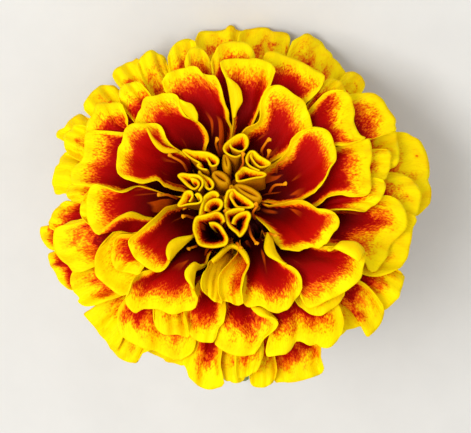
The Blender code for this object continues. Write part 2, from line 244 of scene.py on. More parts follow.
def unit(vectors):
    return vectors / np.linalg.norm(vectors, axis=1)[:, None]


def circle(sides):
    return np.linspace(0, 2 * math.pi, sides, endpoint=False)


def ringsAt(radius, angles, height):
    return np.stack([radius * np.cos(angles), radius * np.sin(angles), height], axis=-1)


def gridNormals(surface):
    return np.cross(np.gradient(surface, axis=1), np.gradient(surface, axis=0))


def quads(*corners):
    return np.stack(corners, axis=-1).reshape(-1, 4)


def meshFrom(name, places, faces, stored):
    places, faces = np.concatenate(places), np.concatenate(faces)
    mesh = bpy.data.meshes.new(name)
    mesh.vertices.add(len(places))
    mesh.vertices.foreach_set("co", places.astype(np.float32).ravel())
    mesh.loops.add(len(faces) * 4)
    mesh.loops.foreach_set("vertex_index", faces.astype(np.int32).ravel())
    mesh.polygons.add(len(faces))
    mesh.polygons.foreach_set("loop_start", np.arange(0, len(faces) * 4, 4, dtype=np.int32))
    mesh.update(calc_edges=True)
    for key, values in stored.items():
        layer = mesh.attributes.new(key, "FLOAT", "POINT")
        layer.data.foreach_set("value", np.concatenate(values).astype(np.float32))
    mesh.shade_smooth()
    return mesh


# What the petals' colours need to know at each point of a sheet, mostly in millimetres
def colourFacts(**facts):
    return dict(zip(facts, np.broadcast_arrays(*facts.values())))


thinMargin = 0.5  # a sheet has its full thickness this far from its margin, in millimetres


# Thin closed sheets in one mesh. A sheet is a grid of world points and its colours' facts. The
# side that a petal shows upwards, or a tube inwards, gets face = 1.
def sheetMesh(name, sheets, thickness, marginShare):
    places, faces, stored = [], [], {}
    start = 0
    for surface, facts in sheets:
        rows, columns = surface.shape[:2]
        normals = gridNormals(surface)
        normals /= np.maximum(np.linalg.norm(normals, axis=-1), 1e-12)[..., None]
        margin = np.minimum(facts["sideDistance"], facts["tipDistance"])
        thinned = np.minimum(1, marginShare + (1 - marginShare) * margin / thinMargin)
        offset = normals * (thickness / 2 * thinned)[..., None]
        places += [(surface + offset).reshape(-1, 3), (surface - offset).reshape(-1, 3)]
        count = rows * columns
        index = np.arange(count).reshape(rows, columns) + start
        top = quads(index[:-1, :-1], index[:-1, 1:], index[1:, 1:], index[1:, :-1])
        border = np.concatenate([index[0, :-1], index[:-1, -1], index[-1, :0:-1], index[:0:-1, 0]])
        after = np.roll(border, -1)
        faces += [top, top[:, ::-1] + count, quads(border, border + count, after + count, after)]
        for key, values in facts.items():
            stored.setdefault(key, []).append(np.tile(values.reshape(-1), 2))
        stored.setdefault("face", []).append(np.repeat([1.0, 0.0], count))
        start += 2 * count
    return meshFrom(name, places, faces, stored)


# Closed bodies in one mesh, each a stack of rings that run counter-clockwise seen from the last
def ringedMesh(name, bodies):
    places, faces, stored = [], [], {}
    start = 0
    for rings, facts in bodies:
        rows, sides = rings.shape[:2]
        places += [rings.reshape(-1, 3), np.stack([rings[0].mean(axis=0), rings[-1].mean(axis=0)])]
        index = np.arange(rows * sides).reshape(rows, sides) + start
        after, last = np.roll(index, -1, axis=1), np.roll(index, -2, axis=1)
        half = np.arange(0, sides, 2)
        bottom, top = (np.full(len(half), start + rows * sides + i) for i in (0, 1))
        faces += [quads(index[:-1], after[:-1], after[1:], index[1:]),
                  quads(last[0, half], after[0, half], index[0, half], bottom),
                  quads(index[-1, half], after[-1, half], last[-1, half], top)]
        for key, values in facts.items():
            values = np.broadcast_to(values, (rows, sides))
            caps = [values[0].mean(), values[-1].mean()]
            stored.setdefault(key, []).append(np.concatenate([values.ravel(), caps]))
        start += rows * sides + 2
    return meshFrom(name, places, faces, stored)


def addPiece(name, mesh, material, node):
    piece = bpy.data.objects.new(name, mesh)
    bpy.context.scene.collection.objects.link(piece)
    mesh.materials.append(material)
    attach(piece, "root")
    if node:
        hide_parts(node)


# Inner petals, traced in the plane of the picture: tenths of a millimetre right and up
# from its middle. "right" runs out along the clockwise margin, "tip" lies between the two corners
# and "left" runs back in. bands and tipShare widen the yellow of the two margins and of the tip.
# A lobe is a margin that is folded over: a strip from its held edge to its free one. A petal
# comes before the one it lies on.

innerPetals = [
    dict(azimuth=-90, bands=(4.2, 1.0),
         right=[(4, -46), (2, -53), (-4, -60), (-13, -70), (-20, -78), (-24, -86), (-25, -96),
            (-24, -110), (-20, -119)],
         tip=[(-15, -121), (-9, -122), (-3, -125), (4, -127)],
         left=[(11, -124), (10, -115), (9, -105), (11, -93), (13.5, -83), (18, -74), (20, -66),
            (19, -59), (16, -53), (11, -48), (7, -43)],
         lobes=[dict(
            held=[(-32, -67), (-22, -59), (-14, -51), (-6, -45), (1, -46.5), (7, -52), (12, -59),
               (17, -68)],
            free=[(-35, -62), (-26, -54), (-17, -45), (-6.5, -39), (4, -41), (12, -47),
               (17.5, -55), (20, -65)], raised=True, lift=0.2)]),
    dict(azimuth=-101, turned=True,
         right=[(-16, -43), (-20, -49), (-26, -55), (-38, -61), (-40, -68), (-45, -78),
            (-48.5, -88), (-49.5, -98), (-47, -106)],
         tip=[(-42, -111), (-36, -116), (-29, -119)],
         left=[(-20, -120), (-16, -110), (-16, -95), (-14, -80), (-10, -68), (-7, -56),
            (-4, -42)]),
    dict(azimuth=-69, tipShare=1.1,
         right=[(10, -46), (11.5, -60), (12, -75), (11, -90), (10, -104), (11, -116)],
         tip=[(16, -124), (24, -127), (34, -127), (42, -131), (48, -135), (60, -138), (68, -135),
            (74, -133), (79, -128), (84, -120), (90, -113)],
         left=[(95, -102), (94.5, -90), (92, -83), (87, -76), (80, -71), (72, -67.5), (66, -63),
            (61, -56), (57, -47), (53, -40), (50, -37), (48, -39)],
         lobes=[dict(
            held=[(73, -68), (67, -64), (62, -57), (58, -50), (55, -41), (53, -33), (49, -24)],
            free=[(70, -69), (61, -64.5), (52, -60), (45, -55), (41, -46), (42, -34), (45, -23)])]),
    dict(azimuth=-13, bands=(1.3, 1.0), tipShare=0.7,
         right=[(32, -4), (40, -11), (46, -17), (50, -22), (54, -30), (59, -37), (65, -45)],
         tip=[(74, -47), (84, -49), (92, -49.5), (97, -46.5), (103, -45.5), (108, -43.5),
            (113, -45), (118, -46), (122, -44), (126, -40.5), (131, -38), (135, -31), (140, -23),
            (146, -17), (148.5, -9), (147, -2)],
         left=[(142, 5), (135, 9), (126, 11), (116, 12), (109, 17), (100, 22), (90, 24), (80, 23),
            (70, 20), (60, 18), (48, 16)]),
    dict(azimuth=27, bands=(0.9, 1.5), tipShare=0.8,
         right=[(46, 20), (61, 17.5), (68, 20), (75, 22), (83, 24.5), (90, 27.5), (99, 31.5),
            (106, 33.5), (113, 35), (117, 39), (122, 44), (126, 50), (129, 56), (131, 63),
            (134, 69), (138, 74)],
         tip=[(142, 78), (144, 82), (144, 90), (143, 98), (141, 104), (139, 111), (136, 118),
            (132, 122.5), (127, 125.5), (121, 127), (114, 128)],
         left=[(107, 127), (99, 124.5), (90, 120.5), (84, 115), (79.5, 110), (76.5, 102), (74, 95),
            (70, 90), (65, 84), (60, 80), (51, 74), (44, 68)]),
    dict(azimuth=60, bands=(1.0, 1.9), tipShare=1.05,
         right=[(42, 72), (60, 86), (78, 102), (94, 116), (108, 128)],
         tip=[(110, 134), (109, 139), (107, 145), (105, 149), (102, 154), (101, 159), (98.5, 164),
            (94, 168.5), (88, 172), (82, 176), (76, 181), (68, 186), (60, 188)],
         left=[(50, 186), (44, 182), (39, 174), (35, 164), (34.5, 154), (35, 144), (33, 137),
            (30, 133.5), (26, 131.5), (21, 129.5), (16, 127.5), (12, 124), (9, 120)]),
    dict(azimuth=160, tipShare=0.75,
         right=[(-76, 92), (-88, 99.5), (-94, 105), (-99, 113), (-102, 122), (-106, 129),
            (-112, 133)],
         tip=[(-120, 133.5), (-129, 133), (-136, 133.5), (-143, 133.5), (-150, 132), (-154, 129),
            (-158, 125), (-160, 120), (-161, 113), (-163, 105), (-167, 100), (-168.5, 93),
            (-169, 85), (-170, 78), (-170, 70)],
         left=[(-168, 62), (-163, 57), (-157, 53.5), (-150, 51.5), (-142, 49), (-134, 47),
            (-126, 48), (-119, 50), (-112, 51.5), (-107, 48.5), (-102, 43), (-96, 41), (-88, 38),
            (-76, 36)],
         lobes=[dict(
            held=[(-126, 128), (-119.5, 116), (-112, 109), (-102, 102), (-92, 98), (-82, 95)],
            free=[(-127, 125), (-121, 111), (-115, 101), (-108, 94), (-100, 90.5), (-90, 91),
               (-81, 92)], front=True, lift=0.6)]),
    dict(azimuth=130, bands=(0.9, 1.2), tipShare=1.0,
         right=[(-43, 94), (-41, 101), (-38.5, 107), (-38.5, 113), (-40.5, 120), (-44, 126),
            (-48, 131), (-54, 136), (-60, 138.5), (-68, 141), (-72, 145), (-76, 152), (-78.5, 160),
            (-80, 167), (-84, 173)],
         tip=[(-90, 176), (-96, 176.5), (-105, 176), (-110, 174), (-115, 172.5), (-120, 172),
            (-127, 171.5), (-132, 167), (-134, 161), (-135, 155), (-139, 151), (-141, 147),
            (-143.5, 142)],
         left=[(-141, 134), (-130, 127), (-116, 120), (-104, 110), (-94, 101), (-82, 93),
            (-72, 84)]),
    dict(azimuth=-145, bands=(1.4, 1.0), tipShare=0.75,
         right=[(-76, 20), (-90, 16), (-98, 14.5), (-103, 11), (-108, 6), (-113, 1), (-120, -5),
            (-128, -12), (-135, -18), (-142, -24), (-149, -29), (-153, -35)],
         tip=[(-152, -43), (-148, -52), (-143, -60), (-136, -66), (-130, -71), (-123, -75),
            (-115, -79), (-108, -79)],
         left=[(-101, -75), (-96, -69), (-92, -62), (-86, -54), (-80, -48), (-73, -41), (-67, -35),
            (-61, -30), (-54, -24)],
         lobes=[dict(
            held=[(-94, -64), (-89, -58), (-84, -52), (-78, -46), (-70, -38), (-60, -29)],
            free=[(-97, -60), (-99, -51), (-97, -41), (-91, -34), (-82, -30), (-70, -28),
               (-58, -26)])]),
    dict(azimuth=82, tipShare=1.15,
         right=[(12, 114), (22, 134), (32, 154), (39, 172), (44, 182), (49, 191), (53, 200),
            (57, 208)],
         tip=[(55, 214), (49, 220), (42, 223), (34, 225), (26, 226.5), (18, 225), (10, 225.5),
            (0, 226), (-10, 225), (-18, 223.5)],
         left=[(-22, 220), (-21, 214), (-19, 208), (-16, 202), (-13.5, 196), (-11, 189),
            (-9.5, 180), (-8, 170), (-6, 160), (-5, 150), (-4, 142), (-4, 130), (-6, 114)],
         lobes=[dict(
            held=[(-13.5, 198), (-11, 188), (-9, 177), (-7, 164), (-5, 152), (-3.5, 141)],
            free=[(-11, 199), (-4, 194), (3, 188), (7.5, 181), (9.5, 172), (10, 164), (6, 157),
               (2, 150), (0, 142)])]),
    dict(azimuth=110,
         right=[(-9, 106), (-6, 118), (-4, 128), (-3, 136), (-6, 142), (-9, 147), (-9, 152),
            (-10, 157), (-14, 164), (-17, 172), (-19, 180), (-22, 189), (-26, 197),
            (-30, 201.5)],
         tip=[(-36, 202), (-42, 203), (-48, 205), (-51, 209), (-54, 213), (-59, 215), (-66, 215),
            (-72, 212), (-80, 211), (-90, 208), (-97, 206), (-102, 202)],
         left=[(-105, 197), (-103, 191), (-100, 185), (-95, 177), (-85, 169), (-79, 159),
            (-73, 148), (-65, 140), (-56, 130), (-50, 116), (-46, 100)],
         lobes=[dict(
            held=[(-80, 166), (-77, 156), (-72, 148), (-65, 141), (-56, 135)],
            free=[(-79, 167), (-71, 163.5), (-64, 161.5), (-60, 158), (-56.5, 152), (-54, 146),
               (-54, 136)], lift=0.9, raised=True)]),
    dict(azimuth=-169, bands=(0.9, 1.2), tipShare=1.2,
         right=[(-82, 30), (-100, 36), (-120, 43), (-134, 47.5), (-142, 47), (-149, 42),
            (-155, 37), (-162, 34.5), (-170, 36), (-180, 40), (-193, 44)],
         tip=[(-202, 46), (-208, 41), (-211, 32), (-213, 20), (-213, 10), (-212, 0), (-210, -9),
            (-206, -16), (-201, -23)],
         left=[(-195, -26), (-186, -23), (-172, -21), (-160, -18.5), (-150, -17.5), (-139, -17),
            (-130, -12), (-120, -5), (-110, 1), (-102, 8), (-93, 12), (-80, 14)],
         lobes=[dict(
            held=[(-192, -25), (-180, -22), (-170, -20.5), (-160, -18), (-150, -17), (-140, -16),
               (-130, -11), (-120, -4)],
            free=[(-192, -19), (-180, -10), (-170, -2), (-160, 3.5), (-150, 7.5), (-140, 8),
               (-130, 6.5), (-118, 5)], front=True, lift=0.2)]),
    dict(azimuth=-118, bands=(1.2, 0.9), tipShare=1.2,
         right=[(-70, -24), (-90, -44), (-110, -60), (-124, -68), (-133, -71), (-138, -79),
            (-144, -86), (-148, -94), (-150, -102), (-153, -110)],
         tip=[(-157, -117), (-156, -125), (-150, -133), (-143, -138), (-137, -135), (-132, -132),
            (-124, -132), (-115, -132), (-108, -133), (-100, -137), (-90, -140), (-80, -138),
            (-73, -135), (-64, -134)],
         left=[(-57, -130), (-54.5, -123), (-53.5, -116), (-56, -110), (-58.5, -103), (-59.5, -95),
            (-58, -82), (-55, -73), (-49, -67), (-42, -61), (-38, -50)],
         lobes=[dict(
            held=[(-59, -104), (-59.5, -94), (-58, -82), (-55, -73), (-49, -67), (-42, -61)],
            free=[(-62, -100), (-70, -90.5), (-72.5, -83), (-71, -76), (-64, -68), (-56, -63),
               (-46, -60)])]),
    dict(azimuth=-38,
         right=[(46, -26), (60, -52), (74, -72), (86, -92), (93, -109)],
         tip=[(98, -118), (103, -126), (110, -127), (120, -125), (130, -120), (140, -116),
            (152, -110), (160, -105), (169, -98), (177, -91), (181, -83), (182, -74), (185, -64),
            (186, -54)],
         left=[(183, -45), (176, -38), (168, -35), (155, -35), (144, -35.5), (132, -34),
            (116, -32), (98, -26), (82, -24), (66, -26)],
         lobes=[dict(
            held=[(184, -50), (176, -39.5), (168, -36), (155, -35.5), (144, -36), (133, -35)],
            free=[(176, -65), (168, -59.5), (160, -54.5), (150, -49.5), (140, -45),
               (131, -39.5)], lift=0.3)]),
]

# The petals below them, from the middle outwards. Their margins start at the first point that
# shows.

secondPetals = [
    dict(azimuth=-152, tipShare=0.7,
         right=[(-166, -26), (-174, -36)],
         tip=[(-176, -46), (-177.5, -54), (-177, -63), (-174, -71), (-170, -76), (-164, -79),
            (-156, -80), (-148, -81.5), (-141, -83.5)],
         left=[(-136, -80), (-132, -73), (-126, -66)]),
    dict(azimuth=-155, bands=(1.2, 1.2), tipShare=1.7,
         right=[(-169, -16), (-179, -24), (-187, -34)],
         tip=[(-193, -41), (-198, -50), (-201, -60), (-201, -71), (-201, -80), (-198, -86),
            (-191, -92), (-184, -98), (-178, -103), (-172, -108), (-166, -112), (-161, -113),
            (-154, -110)],
         left=[(-149, -104), (-144, -92), (-134, -76)]),
    dict(azimuth=164,
         right=[(-134, 116), (-150, 120), (-160, 120), (-170, 121), (-180, 122), (-190, 122.5),
            (-200, 123), (-208, 122)],
         tip=[(-214, 119), (-216, 108), (-216, 100), (-218, 85), (-222, 78), (-230, 72),
            (-235, 65), (-235, 55), (-234, 49)],
         left=[(-231, 45), (-225, 44.5), (-215, 44), (-205, 41.5), (-190, 40)]),
    dict(azimuth=143,
         right=[(-153, 130), (-154, 140), (-157, 148), (-160, 155), (-162, 160)],
         tip=[(-166, 163), (-172, 163.5), (-180, 162), (-190, 163), (-197, 161), (-201, 156),
            (-203.5, 147), (-208, 142), (-212, 137), (-214, 130)],
         left=[(-212, 123), (-202, 114)]),
    dict(azimuth=131,
         right=[(-114, 162), (-120, 172), (-125, 179), (-130, 184), (-136, 191)],
         tip=[(-142, 193), (-150, 191), (-158, 189), (-163, 186), (-166.5, 179)],
         left=[(-167, 172), (-164, 164), (-156, 154)]),
    dict(azimuth=91,
         right=[(24, 206), (27, 218)],
         tip=[(28, 227), (27, 232), (25, 238), (22, 243), (18, 247), (12, 249.5), (5, 250),
            (-3, 250.5), (-13, 249.5), (-20, 247), (-26, 242), (-30, 234), (-33, 228)],
         left=[(-35, 220), (-33, 206)]),
    dict(azimuth=61, bands=(1.3, 1.0), tipShare=0.9,
         right=[(95, 152), (101, 162), (106, 166), (112, 172), (116, 176), (121, 182), (124, 189),
            (126, 195)],
         tip=[(127.5, 200), (124, 204.5), (117, 208), (110, 212), (100, 218), (90, 223), (82, 226),
            (75, 228.5), (67, 232), (60, 235), (52, 236), (45, 235)],
         left=[(41, 230), (39, 220), (36, 206)]),
    dict(azimuth=43,
         right=[(126, 96), (142, 101), (152, 101), (160, 102), (170, 105), (178, 109)],
         tip=[(186, 112.5), (179, 116), (174, 123), (171, 130), (169, 137), (170.5, 149),
            (168, 160), (165, 171), (160, 177)],
         left=[(153, 180), (146, 182), (139, 182.5), (132, 181), (126, 178), (120, 172),
            (110, 162), (102, 154), (90, 142)]),
    dict(azimuth=22,
         right=[(112, 14), (123, 20), (129, 26), (136, 29), (144, 30.5), (152, 31), (159, 29),
            (168, 28), (183, 29)],
         tip=[(190, 32), (194, 40), (194, 49), (193, 63), (192, 70), (195, 83), (195, 95),
            (194, 106)],
         left=[(191, 114), (183, 113), (175, 112), (168, 110), (160, 108), (150, 106), (142, 104),
            (128, 100)]),
    dict(azimuth=8,
         right=[(124, 9), (137, 9.5), (155, 10), (168, 9), (176, 7.5)],
         tip=[(185, 7), (189, 9.5), (194, 14), (200, 17), (206, 23), (210, 29), (213, 36),
            (215, 43), (214, 49)],
         left=[(211, 54), (198, 59)]),
    dict(azimuth=-45,
         right=[(74, -98), (84, -118)],
         tip=[(90, -127), (95, -131), (100, -135), (106, -139), (112, -141), (118, -142),
            (124, -141), (130, -137), (136, -133), (142, -129), (148, -124), (152, -118)],
         left=[(155, -112), (156, -106), (152, -94)]),
    dict(azimuth=-106, bands=(1.3, 1.3), tipShare=1.0,
         right=[(-69, -120), (-74, -134), (-71, -145), (-68.5, -156)],
         tip=[(-66.5, -165), (-63, -171), (-57, -176), (-50, -179), (-40, -180), (-32, -179.5)],
         left=[(-28.5, -174), (-26, -166), (-23, -157), (-17, -151), (-15, -142), (-13.5, -132),
            (-14, -122), (-14, -110)]),
    dict(azimuth=-117, tipShare=1.5,
         right=[(-114, -114), (-117, -126), (-117.5, -136), (-117, -146)],
         tip=[(-115.5, -153), (-113, -159), (-109, -164), (-103, -168), (-96, -169.5), (-90, -169),
            (-84, -168), (-76, -168), (-69, -168)],
         left=[(-66, -164), (-66, -154), (-69, -144), (-72, -130)]),
    dict(azimuth=-84, bands=(1.0, 1.5), tipShare=1.35,
         right=[(-16, -130), (-22, -154), (-27, -170)],
         tip=[(-29.5, -179), (-25, -185), (-20, -189), (-14, -193), (-8, -196), (0, -198.5),
            (10, -199.5), (20, -198), (27, -196), (31, -189), (33, -182), (37, -178),
            (41, -173)],
         left=[(49, -168), (57, -161), (61, -154), (59.5, -148), (53, -142), (47, -137),
            (43, -131), (36, -122)],
         lobes=[dict(
            held=[(43.5, -130), (49, -137), (54, -142), (59.5, -148)],
            free=[(21, -128), (26, -135), (33, -141), (41, -144), (49, -145), (57, -149)])]),
    dict(azimuth=-60, bands=(1.0, 2.2), tipShare=1.3,
         right=[(44, -126), (47, -144), (49, -160), (45, -176), (43, -188)],
         tip=[(45, -196), (52, -197.5), (60, -197.5), (70, -197), (75, -194), (80, -189),
            (82.5, -184), (86, -179), (91, -178), (97, -180), (102, -183), (107, -184.5),
            (113, -183), (116, -181.5), (119, -185), (124, -187.5), (131, -188), (137, -186),
            (141, -182), (145, -178), (148, -173)],
         left=[(152, -166), (153.5, -158), (155, -150), (154, -140), (152, -132), (149, -124),
            (140, -110)]),
    dict(azimuth=178,
         right=[(-206, 40), (-216, 30)],
         tip=[(-220, 20), (-222, 12), (-222, 6), (-220, 0)],
         left=[(-217, -4), (-208, -12)]),
]
thirdPetals = [
    dict(azimuth=36,
         right=[(174, 106), (194, 112), (214, 120)],
         tip=[(228, 122), (230, 127), (228, 130), (229.5, 134), (229, 139), (226, 144), (223, 148),
            (217, 156), (214, 162), (210, 168), (205, 172), (198, 176), (190, 177), (180, 176.5),
            (172, 176)],
         left=[(162, 174), (148, 164)]),
    dict(azimuth=51,
         right=[(144, 166), (155, 175)],
         tip=[(159, 181), (157, 186), (154, 191), (150, 194), (145, 195.5), (138, 197.5),
            (131, 196)],
         left=[(125, 191), (116, 179)]),
    dict(azimuth=105,
         right=[(-30, 198), (-33, 212)],
         tip=[(-36, 224), (-41, 232), (-45, 237), (-49, 241), (-56, 242.5), (-63, 241), (-68, 236),
            (-71, 228)],
         left=[(-73, 218), (-70, 202)]),
    dict(azimuth=20,
         right=[(184, 48), (202, 50)],
         tip=[(213, 53), (218, 61), (221, 70), (222.5, 80), (222, 92)],
         left=[(215, 96.5), (194, 96)]),
    dict(azimuth=-6, tipShare=1.15,
         right=[(176, -56), (185, -66), (189, -75), (195, -79.5)],
         tip=[(202, -77), (207, -70), (212, -64), (217, -57), (218, -50), (220, -44), (224, -38),
            (230, -32), (236, -26), (241, -21), (245, -15), (246, -8), (245, 0), (243, 8),
            (240, 14), (236, 20), (230, 25)],
         left=[(222, 28), (214, 30), (195, 26), (175, 20)]),
    dict(azimuth=-169, tipShare=1.3,
         right=[(-190, 6), (-204, 0), (-214, -2)],
         tip=[(-225, -5), (-233, -6), (-240, -9), (-247, -13), (-253, -14), (-258, -18),
            (-260, -25), (-260.5, -34), (-260, -42), (-259, -48), (-255, -55), (-250, -61),
            (-245, -65.5), (-240, -69), (-237, -73)],
         left=[(-233, -78.5), (-223, -79.5), (-212, -76), (-196, -68)]),
    dict(azimuth=172,
         right=[(-210, 52), (-226, 49)],
         tip=[(-238, 43), (-242, 35), (-240.5, 28), (-236, 23.5), (-230, 21)],
         left=[(-220, 21), (-206, 22)]),
    dict(azimuth=-85,
         right=[(0, -180), (-1, -198), (-1, -212), (0.5, -224)],
         tip=[(2, -230), (8, -230.5), (14, -229.5), (19, -227), (24, -224), (30, -221)],
         left=[(33.5, -215), (36.5, -208), (39, -201), (40, -194), (40, -180)]),
]
fourthPetals = [
    dict(azimuth=-14, tipShare=1.5,
         right=[(186, -84), (200, -86), (212, -84), (223, -80)],
         tip=[(230, -76), (237, -72), (240, -68), (243, -64), (246, -58), (248, -50), (249, -43),
            (251, -36), (252, -30), (254, -16), (257, -11), (259, -5)],
         left=[(256, 2), (238, 8)]),
    dict(azimuth=20,
         right=[(190, 62), (206, 66), (216, 67.5)],
         tip=[(222, 68.5), (228, 71), (232, 76), (234, 83), (234, 95), (232, 106), (231, 115),
            (229, 122)],
         left=[(218, 128), (200, 126), (184, 120)]),
    dict(azimuth=108,
         right=[(-48, 218), (-54, 236)],
         tip=[(-58, 250), (-63, 253), (-69, 254), (-75, 253), (-81, 250.5), (-86, 247.5),
            (-92, 240), (-95, 234)],
         left=[(-97, 227), (-95, 210)]),
    dict(azimuth=119, tipShare=1.4,
         right=[(-89, 196), (-96, 214), (-98, 222)],
         tip=[(-100, 229), (-105, 232), (-110, 233), (-115, 236), (-120, 238), (-126, 236),
            (-132, 231), (-137, 225)],
         left=[(-140, 216), (-134, 198)]),
    dict(azimuth=156,
         right=[(-210, 128), (-223, 132)],
         tip=[(-232, 130), (-236, 124), (-242, 120), (-246, 115), (-245, 108), (-244, 98)],
         left=[(-238, 88), (-224, 80)]),
    dict(azimuth=8,
         right=[(224, 2), (244, 3)],
         tip=[(259, 5), (262, 12), (266, 26), (266, 33), (263, 40), (259, 46), (250, 57),
            (244, 62), (238, 66)],
         left=[(230, 67.5), (216, 68)]),
    dict(azimuth=-152, tipShare=0.8,
         right=[(-206, -60), (-220, -68), (-230, -76)],
         tip=[(-235, -84), (-236, -94), (-234, -101), (-231, -108), (-227, -112), (-223, -117),
            (-225.5, -121), (-220, -126), (-213, -128.5)],
         left=[(-205, -128), (-198, -126.5), (-192, -124), (-182, -120), (-172, -117),
            (-162, -113), (-150, -106)]),
    dict(azimuth=-39,
         right=[(138, -128), (147, -144), (152, -155)],
         tip=[(155, -162), (161, -161.5), (169, -160), (174, -158), (179, -157), (182, -159),
            (185, -166), (188.5, -172.5), (194, -168.5), (200, -163), (205, -157), (209, -150),
            (211.5, -142), (212.5, -135)],
         left=[(210, -126), (198, -109), (184, -94)]),
    dict(azimuth=-24, tipShare=0.8,
         right=[(178, -104), (192, -116), (205, -125)],
         tip=[(213, -130), (218, -128), (223, -124), (229, -119), (234, -115), (236, -107),
            (238.5, -100), (240.5, -92), (242, -84), (241, -79)],
         left=[(237, -72), (222, -64)]),
    dict(azimuth=-118, tipShare=0.7,
         right=[(-154, -114), (-162, -122), (-167, -132), (-168.5, -144), (-168.5, -156)],
         tip=[(-167, -164), (-161, -172), (-153, -178), (-144, -183), (-135, -187), (-128, -189.5),
            (-121, -191), (-116, -191.5), (-110, -195), (-103, -198), (-96, -201), (-90, -204),
            (-83, -205), (-77, -204), (-70, -200), (-64, -196)],
         left=[(-59, -190), (-56.5, -182), (-56, -168), (-54, -154)]),
    dict(azimuth=-100, tipShare=0.9,
         right=[(-59, -176), (-68, -194), (-76, -204)],
         tip=[(-76, -208), (-72, -213), (-69.5, -219), (-68, -225), (-66, -230), (-60, -236),
            (-53, -242), (-47, -245), (-40, -247), (-33, -247), (-26, -245), (-20, -243)],
         left=[(-16, -238), (-18, -226), (-21, -210), (-19, -194), (-16, -178)]),
    dict(azimuth=-93,
         right=[(-24, -190), (-23, -206), (-20, -220)],
         tip=[(-16, -231), (-12, -235), (-8, -235), (-5, -237), (0, -238), (5, -237.5), (10, -235),
            (13, -231)],
         left=[(15, -222), (14, -206)]),
]
